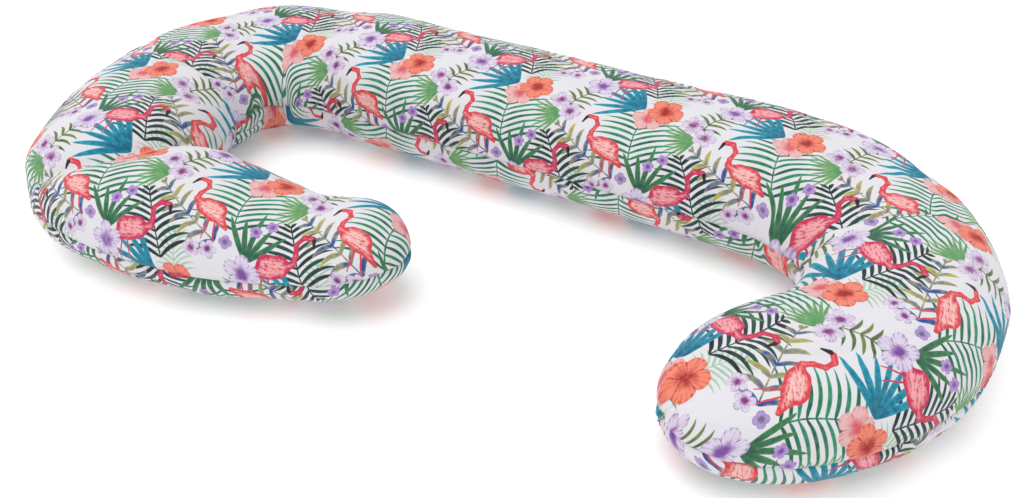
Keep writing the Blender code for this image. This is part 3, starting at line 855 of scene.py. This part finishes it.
def pigment_group(name):
    """print pigment: a motif painted over what lies under it, from dark to light by its tone."""
    tree, n, given, end = new_group(
        name, "Under:Color Mask:Float Tone:Float Wash:Float Dark:Color Light:Color",
        "Color:Color")
    tone = n.math("ADD", given["Tone"], given["Wash"], clamp=True)
    paint = n.mix(tone, given["Dark"], given["Light"])
    n.put(end["Color"], n.mix(given["Mask"], given["Under"], paint))
    return tree


def frond_group(name):
    """print frond: a stem along +Y with pairs of slanting, drooping, pointed leaves.

    The leaf is found by rounding the distance along the stem, less the slant, to the pitch.
    A leaf's half width is a power of its share of the length times a power of the rest, and
    its length falls along the stem as the root of one less the square of the share.
    """
    tree, n, given, end = new_group(
        name, "Vector:Vector Length:Float Reach:Float Width:Float Pitch:Float Lean:Float"
              " Bend:Float", "Mask:Float Tone:Float")
    x, y, _z = n.split(given["Vector"])
    length, pitch = given["Length"], given["Pitch"]
    side = abs(x - y * y * given["Bend"])
    slant = y - side * given["Lean"] * (1.0 - side / given["Reach"] * 0.65)
    count = n.within(n.math("ROUND", slant / pitch), 0.0, length / pitch)
    root = count * pitch
    away = abs(slant - root)
    share = root / length
    reach = n.math("SQRT", 1.03 - share * share) * given["Reach"]
    part = n.math("DIVIDE", side, reach, clamp=True)
    half = part ** 0.30 * (1.0 - part) ** 0.8 * 1.70 * given["Width"]
    leaf = n.step(half - away, *CRISP)
    inside = n.step(y, -0.002, 0.0) * n.step(length - y, -0.002, 0.0)
    stem = n.step(side, 0.0014, 0.0006) * inside
    n.put(end["Mask"], n.math("MAXIMUM", leaf, stem))
    own = n.math("FRACT", count * TURN_SPREAD) * 0.70 - 0.15
    ridge = n.math("DIVIDE", away, half + RIDGE, clamp=True)
    n.put(end["Tone"], part * 0.45 + own + ridge * 0.35)
    return tree


def fan_group(name):
    """print fan: pointed blades of uneven length that spread from one root, about +Y."""
    tree, n, given, end = new_group(
        name, "Vector:Vector Size:Float Width:Float Step:Float Blades:Float",
        "Mask:Float Tone:Float")
    x, y, _z = n.split(given["Vector"])
    reach = n.length(given["Vector"])
    angle = n.math("ARCTAN2", x, y)
    blade = n.within(n.math("ROUND", angle / given["Step"]), given["Blades"] * -1.0,
                     given["Blades"])
    away = abs(angle - blade * given["Step"]) * reach
    size = 1.0 - abs(n.math("SINE", blade * 1.9)) * 0.22
    part = n.math("DIVIDE", reach, size * given["Size"], clamp=True)
    half = part ** 0.5 * (1.0 - part) ** 0.6 * 1.9 * given["Width"]
    n.put(end["Mask"], n.step(half - away, *CRISP))
    ridge = n.math("DIVIDE", away, half + RIDGE, clamp=True)
    n.put(end["Tone"], part * 0.5 + ridge * 0.4)
    return tree


def flower_group(name):
    """print flower: petals whose edge follows the root of the cosine of the turned angle.

    The tone rises from the heart outwards, with veins, and falls in the folds between the
    petals and at their rim.
    """
    tree, n, given, end = new_group(
        name, "Vector:Vector Size:Float Petals:Float Depth:Float", "Mask:Float Tone:Float")
    x, y, _z = n.split(given["Vector"])
    angle = n.math("ARCTAN2", x, y) * (given["Petals"] * 0.5)
    lobe = abs(n.math("COSINE", angle))
    edge = (1.0 - (1.0 - lobe ** 0.5) * given["Depth"]) * given["Size"]
    part = n.length(given["Vector"]) / edge
    n.put(end["Mask"], n.step(part, 1.04, 0.97))
    veins = n.math("COSINE", angle * 10.0) * 0.26 * part
    fold = n.step(lobe, 0.35, 0.0) * 0.45
    rim = n.step(part, 0.80, 1.0) * 0.30
    n.put(end["Tone"], n.step(part, 0.10, 0.66) + veins - (fold + rim))
    return tree


def line_group(name):
    """print line: distance from a tapering round-ended stroke, less its radius."""
    tree, n, given, end = new_group(
        name, "Vector:Vector From:Vector To:Vector Start:Float End:Float", "Distance:Float")
    along = n.vector("SUBTRACT", given["To"], given["From"])
    mine = n.vector("SUBTRACT", given["Vector"], given["From"])
    share = n.math("DIVIDE", n.dot(mine, along), n.dot(along, along), clamp=True)
    away = n.vector("SUBTRACT", mine, n.vector("SCALE", along, scale=share))
    radius = n.add("ShaderNodeMix", {0: share, 2: given["Start"], 3: given["End"]})
    n.put(end["Distance"], n.length(away) - radius)
    return tree


# Strokes of the bird, each (from, to, radius there, radius here): body, tail, chest and neck.
BIRD_STROKES = (
    ((0.008, -0.003), (-0.006, 0.002), 0.0150, 0.0135),
    ((0.012, -0.008), (0.029, -0.023), 0.0095, 0.0028),
    ((-0.012, 0.002), (-0.023, 0.010), 0.0070, 0.0040),
    ((-0.023, 0.010), (-0.023, 0.020), 0.0040, 0.0031),
    ((-0.023, 0.020), (-0.018, 0.033), 0.0031, 0.0028),
    ((-0.018, 0.033), (-0.024, 0.044), 0.0028, 0.0030),
    ((-0.024, 0.044), (-0.034, 0.045), 0.0033, 0.0038),
)
BIRD_LEGS = (
    ((0.006, -0.012), (0.001, -0.044), 0.0012, 0.0006),
    ((0.012, -0.012), (0.017, -0.046), 0.0012, 0.0006),
)
BIRD_BEAK = ((-0.037, 0.043), (-0.041, 0.033), 0.0026, 0.0010)
BIRD_JOIN = 0.004            # how softly the strokes of the body run together
BIRD_EDGE = (0.0005, -0.0003)


def bird_group(name):
    """print bird: a long-necked wading bird of soft-joined strokes, with its beak apart."""
    tree, n, given, end = new_group(name, "Vector:Vector", "Mask:Float Depth:Float Beak:Float")

    def stroke(start, stop, first, last):
        return n.group(shared(line_group), {
            "Vector": given["Vector"], "From": (*start, 0.0), "To": (*stop, 0.0),
            "Start": first, "End": last})["Distance"]

    body = stroke(*BIRD_STROKES[0])
    for row in BIRD_STROKES[1:]:
        body = n.math("SMOOTH_MIN", body, stroke(*row), BIRD_JOIN)
    for row in BIRD_LEGS:
        body = n.math("MINIMUM", body, stroke(*row))
    n.put(end["Mask"], n.step(body, *BIRD_EDGE))
    feathers = n.noise(n.vector("MULTIPLY", given["Vector"], (130.0, 420.0, 1.0)), 1.0, 1.0)
    n.put(end["Depth"], n.step(body, -0.0008, -0.0085) - n.step(feathers, 0.50, 0.62, 0.0, 0.75))
    n.put(end["Beak"], n.step(stroke(*BIRD_BEAK), *BIRD_EDGE))
    return tree


# Each motif is (root or centre, turn in degrees, its sizes in metres, dark ink, light ink).
# A frond's sizes are length, leaf reach, leaf half width, pitch, then its lean and its bend.
UNDER_FROND = ((-0.030, -0.100), 12, (0.060, 0.032, 0.0024, 0.0068, 0.9, 2.0), "mist", "sage")
FRONDS = (
    ((0.040, -0.022), 10, (0.112, 0.070, 0.0031, 0.0098, 0.50, 2.2), "fern", "jade"),
    ((0.143, -0.080), 15, (0.090, 0.054, 0.0037, 0.0102, 0.80, -1.5), "ink", "pine"),
    ((-0.071, 0.060), -28, (0.058, 0.027, 0.0034, 0.0115, 0.8, 2.0), "moss", "olive"),
    ((0.018, -0.042), 62, (0.112, 0.032, 0.0048, 0.0165, 0.8, 1.0), "navy", "corn"),
)
# A fan's sizes are reach and blade half width, then the degrees between blades and how many
# there are on each side of the middle one.
UNDER_FAN = ((-0.074, 0.040), 105, (0.058, 0.0030, 11.0, 4), "leaf", "spring")
FANS = (
    ((0.062, -0.058), -8, (0.074, 0.0046, 19.0, 2), "pine", "leaf"),
    ((0.036, 0.084), 70, (0.088, 0.0052, 15.5, 3), "deep", "azure"),
)
# A bird's are its way round, 1 facing left or -1 facing right, and its scale.
BIRDS = (
    ((0.0, 0.0), 0, (1.0, 1.0), "coral", "shell"),
    ((0.101, -0.052), -8, (-1.0, 1.05), "magenta", "petal"),
)
# A flower's are its radius, its petals and how deep they are parted; its heart is the dark ink.
FLOWERS = (
    ((0.046, 0.063), 10, (0.023, 5, 0.36), "rose", "blush"),
    ((0.066, 0.083), 40, (0.026, 5, 0.32), "flame", "salmon"),
    ((0.058, -0.073), 0, (0.024, 5, 0.44), "violet", "pearl"),
    ((-0.010, -0.0585), 20, (0.012, 5, 0.50), "plum", "pearl"),
    ((0.012, -0.055), 60, (0.012, 5, 0.50), "plum", "pearl"),
    ((0.033, -0.040), 0, (0.009, 4, 0.35), "slate", "lilac"),
    ((-0.085, 0.066), 15, (0.017, 5, 0.48), "plum", "pearl"),
    ((-0.065, 0.047), 50, (0.017, 5, 0.48), "plum", "pearl"),
    ((0.068, -0.016), 0, (0.0085, 5, 0.45), "violet", "lilac"),
    ((0.086, -0.003), 30, (0.0085, 5, 0.45), "violet", "lilac"),
)

INKS = {
    "mist": (0.30, 0.45, 0.36), "sage": (0.46, 0.58, 0.42), "fern": (0.008, 0.095, 0.052),
    "jade": (0.040, 0.30, 0.15), "leaf": (0.07, 0.25, 0.09), "ink": (0.010, 0.012, 0.025),
    "navy": (0.012, 0.06, 0.27), "moss": (0.05, 0.09, 0.025), "olive": (0.19, 0.25, 0.075),
    "corn": (0.45, 0.40, 0.08), "spring": (0.24, 0.41, 0.16), "pine": (0.015, 0.085, 0.055),
    "deep": (0.0, 0.10, 0.19), "azure": (0.010, 0.37, 0.48), "blush": (0.70, 0.42, 0.41),
    "rose": (0.60, 0.08, 0.11), "coral": (0.62, 0.042, 0.060), "salmon": (0.78, 0.21, 0.14),
    "flame": (0.34, 0.006, 0.008), "pearl": (0.63, 0.56, 0.70), "violet": (0.18, 0.05, 0.30),
    "plum": (0.20, 0.02, 0.18), "lilac": (0.40, 0.27, 0.56), "slate": (0.14, 0.12, 0.22),
    "shell": (0.80, 0.46, 0.43), "magenta": (0.50, 0.022, 0.08), "petal": (0.80, 0.34, 0.36),
}


def opaque(color, light=1.0):
    """A colour made lighter or darker, with full alpha."""
    return (*[min(light * c, 1.0) for c in color], 1.0)


def print_group(name):
    """flower print: leaves, blooms and wading birds in a brick repeat over the ground.

    The motifs are laid from the bottom to the top, each with its own nearest repeat.
    """
    tree, n, given, end = new_group(name, "Vector:Vector Ground:Color", "Color:Color")
    wash = n.math("MULTIPLY_ADD", n.noise(given["Vector"], 120.0, 2.0, 0.6), 1.5, -0.75)

    def frond(spot, length, reach, width, pitch, lean, bend):
        return n.group(shared(frond_group), {
            "Vector": spot, "Length": length, "Reach": reach, "Width": width, "Pitch": pitch,
            "Lean": lean, "Bend": bend})

    def fan(spot, size, width, step, blades):
        return n.group(shared(fan_group), {
            "Vector": spot, "Size": size, "Width": width, "Step": math.radians(step),
            "Blades": float(blades)})

    def flower(spot, size, petals, depth):
        return n.group(shared(flower_group), {
            "Vector": spot, "Size": size, "Petals": float(petals), "Depth": depth})

    def bird(spot, way, scale):
        spot = n.vector("MULTIPLY", spot, (way / scale, 1.0 / scale, 1.0))
        found = n.group(shared(bird_group), {"Vector": spot})
        return {**found, "Tone": found["Depth"]}

    layers = ((frond, (UNDER_FROND,)), (fan, (UNDER_FAN,)), (frond, FRONDS), (fan, FANS),
              (bird, BIRDS), (flower, FLOWERS))
    color = given["Ground"]
    for motif, rows in layers:
        for centre, turn, sizes, dark, light in rows:
            spot = n.group(shared(place_group), {
                "Vector": given["Vector"], "Centre": (*centre, 0.0),
                "Turn": math.radians(-turn)})["Vector"]
            found = motif(spot, *sizes)
            color = n.group(shared(pigment_group), {
                "Under": color, "Mask": found["Mask"], "Tone": found["Tone"], "Wash": wash,
                "Dark": opaque(INKS[dark]), "Light": opaque(INKS[light])})["Color"]
            if "Beak" in found:
                color = n.mix(found["Beak"], color, opaque(INKS["ink"]))
    n.put(end["Color"], color)
    return tree


def weave_group(name):
    """woven cloth: threads over and under each other, as a height from 0 to 1."""
    tree, n, given, end = new_group(name, "Vector:Vector Pitch:Float",
                                    "Height:Float Grain:Float")
    turn = n.math("DIVIDE", math.pi, given["Pitch"])
    x, y, _z = n.split(n.vector("SCALE", given["Vector"], scale=turn))
    over = n.math("SINE", x) * n.math("SINE", y)
    grain = n.noise(given["Vector"], 420.0, 3.0, 0.65)
    n.put(end["Height"], n.math("MULTIPLY_ADD", over, 0.25, grain * 0.5 + 0.25))
    n.put(end["Grain"], grain)
    return tree


# ================================================================================= materials
def new_material(name):
    """A material with only its shader and output, and the helper that adds to it."""
    material = bpy.data.materials.new(name)
    material.use_nodes = True
    material.node_tree.nodes.clear()
    n = Nodes(material.node_tree)
    shader = n.add("ShaderNodeBsdfPrincipled", (), None)
    output = n.add("ShaderNodeOutputMaterial", (), None)
    n.put(output.inputs["Surface"], Value(n, shader.outputs[0]))
    return material, n, shader.inputs


def cloth_place(n):
    """Places in the flat cloth, in metres."""
    return n.add("ShaderNodeUVMap", (), uv_map="fabric")


def body_place(n):
    """Places in the piece's own space, in metres."""
    return n.add("ShaderNodeTexCoord", (), "Object")


def weave(n, place, pitch):
    """The woven cloth's height and grain at a pitch between threads, in metres."""
    return n.group(shared(weave_group), {"Vector": place, "Pitch": pitch})


def printed_cotton(name, ground):
    """Printed cotton of the cover: the flower print over a fine weave with soft wrinkles."""
    material, n, shader = new_material(name)
    place = cloth_place(n)
    color = n.group(shared(print_group), {"Vector": place, "Ground": opaque(ground)})["Color"]
    cloth = weave(n, place, 0.0011)
    shade = n.math("MULTIPLY_ADD", cloth["Grain"], 0.10, 0.95)
    n.put(shader["Base Color"], n.vector("SCALE", color, scale=shade))
    n.put(shader["Roughness"], n.math("MULTIPLY_ADD", cloth["Grain"], 0.16, 0.76))
    shader["Sheen Weight"].default_value = 0.12
    shader["Sheen Roughness"].default_value = 0.6
    shader["Specular IOR Level"].default_value = 0.30
    wrinkles = n.noise(place, 34.0, 3.0, 0.45, 0.6)
    height = n.math("MULTIPLY_ADD", wrinkles, 3.0, cloth["Height"] * 0.22)
    n.put(shader["Normal"], n.bump(height, 0.35, 0.0010))
    return material


def plain_cotton(name, color):
    """Unprinted cotton of the casing, with its weave and slubs."""
    material, n, shader = new_material(name)
    place = cloth_place(n)
    cloth = weave(n, place, 0.0014)
    slub = n.noise(n.vector("MULTIPLY", place, (40.0, 900.0, 1.0)), 1.0, 2.0)
    n.put(shader["Base Color"], n.mix(slub, opaque(color, 0.86), opaque(color)))
    n.put(shader["Roughness"], n.math("MULTIPLY_ADD", cloth["Grain"], 0.12, 0.84))
    shader["Sheen Weight"].default_value = 0.10
    n.put(shader["Normal"], n.bump(cloth["Height"], 0.4, 0.0006))
    return material


def loose_fibre(name, color):
    """Polyester fibre: tangled strands, lighter where they bunch."""
    material, n, shader = new_material(name)
    strands = n.noise(body_place(n), 160.0, 5.0, 0.7, 2.5)
    n.put(shader["Base Color"], n.mix(strands, opaque(color, 0.72), opaque(color)))
    n.put(shader["Roughness"], n.math("MULTIPLY_ADD", strands, 0.2, 0.78))
    shader["Sheen Weight"].default_value = 0.3
    n.put(shader["Normal"], n.bump(strands, 0.7, 0.002))
    return material


TAPE_STITCHES = 0.0062       # height of the sewing line above the tape's edge
THREAD_WHITE = (0.90, 0.89, 0.92)


def woven_tape(name, color):
    """Herringbone nylon tape of the zip, with the sewing line that holds it."""
    material, n, shader = new_material(name)
    x, y, _z = n.split(cloth_place(n))
    slope = n.math("PINGPONG", y, 0.002)
    ribs = n.math("SINE", (x + slope) * (2.0 * math.pi / 0.0011))
    dash = (n.step(n.math("PINGPONG", x, 0.0015), 0.0003, 0.0005)
            * n.step(abs(y - TAPE_STITCHES), 0.0005, 0.0003))
    tint = n.mix(n.math("MULTIPLY_ADD", ribs, 0.5, 0.5), opaque(color, 0.84), opaque(color))
    n.put(shader["Base Color"], n.mix(dash, tint, opaque(THREAD_WHITE)))
    n.put(shader["Roughness"], n.math("MULTIPLY_ADD", ribs, 0.05, 0.62))
    n.put(shader["Normal"], n.bump(ribs * 0.3 + dash * 1.6, 0.6, 0.0003))
    return material


def moulded_nylon(name, color):
    """Nylon monofilament of the zip's coils: smooth, with faint drawn streaks."""
    material, n, shader = new_material(name)
    streaks = n.noise(body_place(n), 900.0, 2.0)
    n.put(shader["Base Color"], n.mix(streaks, opaque(color, 0.88), opaque(color)))
    n.put(shader["Roughness"], n.math("MULTIPLY_ADD", streaks, 0.15, 0.28))
    n.put(shader["Normal"], n.bump(streaks, 0.15, 0.0002))
    return material


def die_cast(name, color):
    """Plated die-cast metal of the slider, tab and stops: fine scratches and worn edges."""
    material, n, shader = new_material(name)
    place = body_place(n)
    scratches = n.noise(n.vector("MULTIPLY", place, (260.0, 2200.0, 2200.0)), 1.0, 3.0, 0.7)
    cloud = n.noise(place, 340.0, 2.0)
    worn = n.step(n.add("ShaderNodeNewGeometry", (), "Pointiness"), 0.52, 0.60)
    n.put(shader["Base Color"], n.mix(worn, opaque(color, 0.80), opaque(color, 1.25)))
    n.put(shader["Roughness"], n.math("MULTIPLY_ADD", cloud, 0.22, 0.20))
    shader["Metallic"].default_value = 1.0
    n.put(shader["Normal"], n.bump(scratches, 0.10, 0.0002))
    return material


PAPER_GLOW = 0.16            # what the light under the paper adds to it


def studio_paper(name):
    """Seamless white studio paper under the pillow, lit from below as on a light table."""
    material, n, shader = new_material(name)
    grain = n.noise(body_place(n), 60.0, 2.0)
    n.put(shader["Base Color"], n.mix(grain, (0.93, 0.93, 0.93, 1.0), (0.95, 0.95, 0.95, 1.0)))
    shader["Roughness"].default_value = 0.9
    shader["Emission Color"].default_value = (1.0, 1.0, 1.0, 1.0)
    shader["Emission Strength"].default_value = PAPER_GLOW
    return material


def white_room(name, daylight):
    """Even light from all round; the camera sees the room itself as pure white."""
    world = bpy.data.worlds.new(name)
    world.use_nodes = True
    n = Nodes(world.node_tree)
    background = world.node_tree.nodes["Background"].inputs
    background["Color"].default_value = (1.0, 1.0, 1.0, 1.0)
    seen = n.add("ShaderNodeLightPath", (), "Is Camera Ray")
    n.put(background["Strength"], n.add("ShaderNodeMix", {0: seen, 2: daylight, 3: 1.0}))
    return world


# ================================================================================= operators
FLOOR_HALF = 14.0


class PILLOW_OT_stage(Operator):
    """Puts in the floor, the light and the camera"""

    bl_idname = "pillow.stage"
    bl_label = "Stage"

    def execute(self, context):
        stage, scene = context.scene.pillow_stage, context.scene
        camera = bpy.data.cameras.new("camera")
        camera.lens, camera.sensor_width = stage.lens, 36.0
        camera.clip_start, camera.clip_end = 0.05, 50.0
        scene.camera = add_object("camera", camera)
        scene.camera.location = stage.eye
        scene.camera.rotation_euler = (0.5 * math.pi - stage.pitch, 0.0, stage.heading)
        scene.view_settings.view_transform = "Standard"
        scene.world = white_room("room", stage.daylight)
        lamp = bpy.data.lights.new("overhead", "SUN")
        lamp.angle, lamp.energy = math.radians(60.0), stage.key
        hung = add_object("overhead", lamp)
        hung.location = (-0.4, 0.5, 2.2)
        hung.rotation_euler = (math.radians(8.0), math.radians(-12.0), 0.0)
        corners = np.array([(-1.0, -1.0, 0.0), (1.0, -1.0, 0.0), (1.0, 1.0, 0.0),
                            (-1.0, 1.0, 0.0)])
        mesh = polygon_mesh("floor", FLOOR_HALF * corners, np.arange(4), np.array([4]), False)
        add_object("floor", mesh, studio_paper("studio paper"))
        return {"FINISHED"}


def panel_cells(shape, side, layer, body):
    """Which cells of the skin belong to a panel: its stretch of the tube and its layer."""
    keep = np.zeros(shape, dtype=bool)
    left, right = body.ring_at(LEFT_MITRE), body.ring_at(RIGHT_MITRE)
    first, last = {"left": (0, left), "back": (left, right),
                   "right": (right, shape[0])}[side]
    rows = slice(0, body.half) if layer == "top" else slice(body.half, shape[1])
    keep[first:last, rows] = True
    start, stop = body.zip_rings
    keep[start:stop, :2] = False
    keep[start:stop, -2:] = False
    return keep


# How each panel was cut: where a bird of the print stands, and the print's turn in degrees.
CUTS = {"left": (-0.253, -0.268, 12.0), "back": (-0.256, 0.064, 4.0),
        "right": (0.502, -0.230, -60.0)}
UNDER_SHIFT = (0.07, 0.05)   # how far the print is moved on the lower panels


def panel_pattern(flat, side, layer):
    """Print coordinates of one panel: the flat cloth moved and turned as that panel was cut.

    A lower panel is seen from its other side, so its print is mirrored.
    """
    x, y, turn = CUTS[side]
    cosine, sine = math.cos(math.radians(turn)), math.sin(math.radians(turn))
    moved = (flat - np.array([x, y])) @ np.array([[cosine, -sine], [sine, cosine]])
    return moved if layer == "top" else moved * np.array([-1.0, 1.0]) + np.array(UNDER_SHIFT)


class PILLOW_OT_cover(Operator):
    """Cuts the settled skin into the six printed panels of the removable cover"""

    bl_idname = "pillow.cover"
    bl_label = "Printed cover"

    def execute(self, context):
        body = skin()
        rings, rows = body.points.shape[:2]
        grid = merged_tips(cell_faces(rings, rows), rings, rows)
        inner = body.points - body.normals * COVER_THICK
        material = printed_cotton("printed cotton", context.scene.pillow_print.ground)
        for layer in ("top", "bottom"):
            flat = body.flat(layer)
            for side in ("left", "back", "right"):
                keep = panel_cells(grid.shape[:2], side, layer, body)
                pattern = panel_pattern(flat, side, layer)
                piece = shell("cover_cloth_%s_%s" % (layer, side), grid, body.points, inner,
                              keep, pattern, material, baked=True)
                stand_for(piece, "cover_%s_%s" % (layer, side))
                declare_sheet(piece, pattern.reshape(-1, 2)[np.unique(grid[keep])])
        return {"FINISHED"}


class PILLOW_OT_casing(Operator):
    """Makes the plain cotton casing that holds the filling, in two halves"""

    bl_idname = "pillow.casing"
    bl_label = "Casing"

    def execute(self, context):
        body = skin()
        points, normals = body.points[:, ::2], body.normals[:, ::2]
        rings, rows = points.shape[:2]
        grid = merged_tips(cell_faces(rings, rows), rings, rows)
        outer = points - normals * CASING_DEPTH
        inner = points - normals * (CASING_DEPTH + CASING_THICK)
        material = plain_cotton("plain cotton", context.scene.pillow_print.cotton)
        above = np.broadcast_to(np.arange(rows) < rows // 2, grid.shape[:2])
        for layer, half, keep in (("top", "upper", above), ("bottom", "lower", ~above)):
            flat = body.flat(layer)[:, ::2]
            piece = shell("casing_cloth_" + half, grid, outer, inner, keep, flat, material)
            stand_for(piece, "casing_" + half)
            declare_sheet(piece, flat)
        return {"FINISHED"}


CLUMP = 0.022                # size of the clumps of fibre
CLUMP_DEPTH = 0.0020


class PILLOW_OT_filling(Operator):
    """Makes the fibre filling as one closed, lumpy body inside the casing"""

    bl_idname = "pillow.filling"
    bl_label = "Filling"

    def execute(self, context):
        body = skin()
        lumps = 0.5 + 0.5 * ripple(body.along[:, ::2], body.round[:, ::2], CLUMP, CLUMP, 41)
        depth = (FILLING_DEPTH + CLUMP_DEPTH * lumps)[..., None]
        mesh, _used = tube_mesh("filling_fibre",
                                body.points[:, ::2] - body.normals[:, ::2] * depth)
        material = loose_fibre("loose fibre", context.scene.pillow_print.fibre)
        piece = add_object("filling_fibre", mesh, material)
        stand_for(piece, "fibre_filling")
        return {"FINISHED"}


TAPE_STATIONS, TAPE_ROWS = 240, 12
TAPE_EDGE = 0.0004           # height of the edge that faces the coil
TAPE_FIRST_ROW = 0.0012      # height of the first of the even rows above it
TAPE_HEM = 0.0003            # how far the last of them stays below the tape's far edge


def tape_strip(name, layer, material):
    """One zip tape: a strip of the back's face, sunk below the cover by its depth.

    Its points are the tube's at the angles that lie a given height above or below the seam.
    """
    body = skin()
    first, last = (body.stations[k] for k in body.zip_rings)
    stations = np.linspace(first + TAPE_TRIM, last - TAPE_TRIM, TAPE_STATIONS)
    rows = np.linspace(TAPE_FIRST_ROW, TAPE_HALF - TAPE_HEM, TAPE_ROWS)
    heights = np.concatenate([[TAPE_EDGE], rows])
    if layer == "lower":
        heights = heights[::-1]
    angles = angle_at(heights, layer) * (1.0 if layer == "upper" else -1.0)
    face = tube(stations, angles) + body.shift
    inwards = np.array([0.0, -1.0, 0.0])
    count = len(angles)
    cells = (np.arange(len(stations) - 1)[:, None, None] * count
             + np.arange(count - 1)[None, :, None]
             + np.array([0, 1, count + 1, count])[None, None, :])
    flat = np.stack(np.broadcast_arrays(stations[:, None], heights[None, :]), axis=-1)
    piece = shell(name, cells, face + inwards * TAPE_DEPTH,
                  face + inwards * (TAPE_DEPTH + TAPE_THICK),
                  np.ones(cells.shape[:2], dtype=bool), flat, material)
    stand_for(piece, "zip_tape_" + layer)


def coil_mesh(name, low, high, mirror):
    """One side of the zip's coil: a round wire that winds along the tape.

    The wire's middle goes round a flattened loop, its height a cosine and its depth a sine,
    while it moves along by one pitch a turn. A ring of points is carried along that path.
    """
    turns = int((high[0] - low[0]) / COIL_PITCH) - 1
    phase = np.linspace(0.0, 2.0 * np.pi * turns, turns * COIL_STEPS + 1)
    middle, half = 0.5 * (low + high), 0.5 * (high - low) - COIL_WIRE
    start = middle[0] - 0.5 * turns * COIL_PITCH
    path = np.stack([start + COIL_PITCH * phase / (2.0 * np.pi),
                     middle[1] + half[1] * np.sin(phase),
                     middle[2] + mirror * half[2] * np.cos(phase)], axis=1)
    ahead = np.gradient(path, axis=0)
    ahead /= np.linalg.norm(ahead, axis=1, keepdims=True)
    side = np.cross(ahead, [1.0, 0.0, 0.0])
    side /= np.linalg.norm(side, axis=1, keepdims=True)
    up = np.cross(side, ahead)
    turn = np.linspace(0.0, 2.0 * np.pi, COIL_SIDES, endpoint=False)[None, :, None]
    ring = path[:, None] + COIL_WIRE * (np.cos(turn) * side[:, None] + np.sin(turn) * up[:, None])
    points = np.concatenate([ring.reshape(-1, 3), path[:1], path[-1:]])
    quads = cell_faces(len(path), COIL_SIDES).reshape(-1, 4)
    first = np.arange(COIL_SIDES)
    after, base = (first + 1) % COIL_SIDES, len(path) * COIL_SIDES
    start_cap = np.stack([np.full(COIL_SIDES, base), after, first], axis=1)
    end_cap = np.stack([np.full(COIL_SIDES, base + 1), first + base - COIL_SIDES,
                        after + base - COIL_SIDES], axis=1)
    corners = np.concatenate([quads.ravel(), start_cap.ravel(), end_cap.ravel()])
    sizes = np.repeat([4, 3], [len(quads), 2 * COIL_SIDES])
    mesh = polygon_mesh(name, points, corners, sizes)
    if enclosed_volume(mesh) < 0.0:
        mesh.flip_normals()
    return mesh


def enclosed_volume(mesh):
    """Six times the volume in a closed mesh: negative if its faces point inwards."""
    mesh.calc_loop_triangles()
    points = np.empty(len(mesh.vertices) * 3, dtype=np.float32)
    mesh.vertices.foreach_get("co", points)
    points = points.reshape(-1, 3).astype(float)
    corners = np.empty(len(mesh.loop_triangles) * 3, dtype=np.int32)
    mesh.loop_triangles.foreach_get("vertices", corners)
    a, b, c = (points[corners.reshape(-1, 3)[:, k]] - points.mean(axis=0) for k in range(3))
    return float((a * np.cross(b, c)).sum())


class PILLOW_OT_zip(Operator):
    """Makes the zip's two woven tapes and the two rows of its coil"""

    bl_idname = "pillow.zip"
    bl_label = "Zip tapes and coils"

    def execute(self, context):
        colors = context.scene.pillow_print
        tape = woven_tape("woven tape", colors.nylon)
        nylon = moulded_nylon("moulded nylon", colors.nylon)
        for layer, mirror in (("upper", 1.0), ("lower", -1.0)):
            tape_strip("tape_cloth_" + layer, layer, tape)
            low, high = (np.array(c, dtype=float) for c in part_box("zip_coil_" + layer))
            mesh = coil_mesh("coil_wire_" + layer, low, high, mirror)
            piece = add_object("coil_wire_" + layer, mesh, nylon)
            stand_for(piece, "zip_coil_" + layer)
        return {"FINISHED"}


class PILLOW_OT_zip_metal(Operator):
    """Gives the slider, its pull tab and the stops their plated metal"""

    bl_idname = "pillow.zip_metal"
    bl_label = "Zip metal"

    def execute(self, context):
        metal = die_cast("plated zinc", context.scene.pillow_print.metal)
        for name in ("zip_slider", "zip_pull_tab", "zip_top_stop_upper", "zip_top_stop_lower",
                     "zip_bottom_stop"):
            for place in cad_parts[name].material_slots:
                place.material = metal
        return {"FINISHED"}


class PILLOW_PT_panel(Panel):
    """Lists the pillow's settings and the steps that make it"""

    bl_label = "Nursing pillow"
    bl_idname = "PILLOW_PT_panel"
    bl_space_type = "VIEW_3D"
    bl_region_type = "UI"
    bl_category = "Pillow"

    def draw(self, context):
        for group in ("pillow_cloth", "pillow_print", "pillow_stage"):
            box = self.layout.box()
            settings = getattr(context.scene, group)
            for key in settings.__annotations__:
                box.prop(settings, key)
        for operator in OPERATORS:
            self.layout.operator(operator.bl_idname)


OPERATORS = (PILLOW_OT_stage, PILLOW_OT_filling, PILLOW_OT_casing, PILLOW_OT_cover,
             PILLOW_OT_zip, PILLOW_OT_zip_metal)
CLASSES = (PillowCloth, PillowPrint, PillowStage, *OPERATORS, PILLOW_PT_panel)


def register():
    for item in CLASSES:
        bpy.utils.register_class(item)
    bpy.types.Scene.pillow_cloth = PointerProperty(type=PillowCloth)
    bpy.types.Scene.pillow_print = PointerProperty(type=PillowPrint)
    bpy.types.Scene.pillow_stage = PointerProperty(type=PillowStage)


def unregister():
    del bpy.types.Scene.pillow_stage, bpy.types.Scene.pillow_print
    del bpy.types.Scene.pillow_cloth
    for item in reversed(CLASSES):
        bpy.utils.unregister_class(item)


def main():
    """Registers the add-on, makes every piece in order and writes the two boxes."""
    register()
    bpy.ops.pillow.stage()
    bpy.ops.pillow.filling()
    bpy.ops.pillow.casing()
    bpy.ops.pillow.cover()
    bpy.ops.pillow.zip()
    bpy.ops.pillow.zip_metal()


if __name__ == "__main__":
    main()
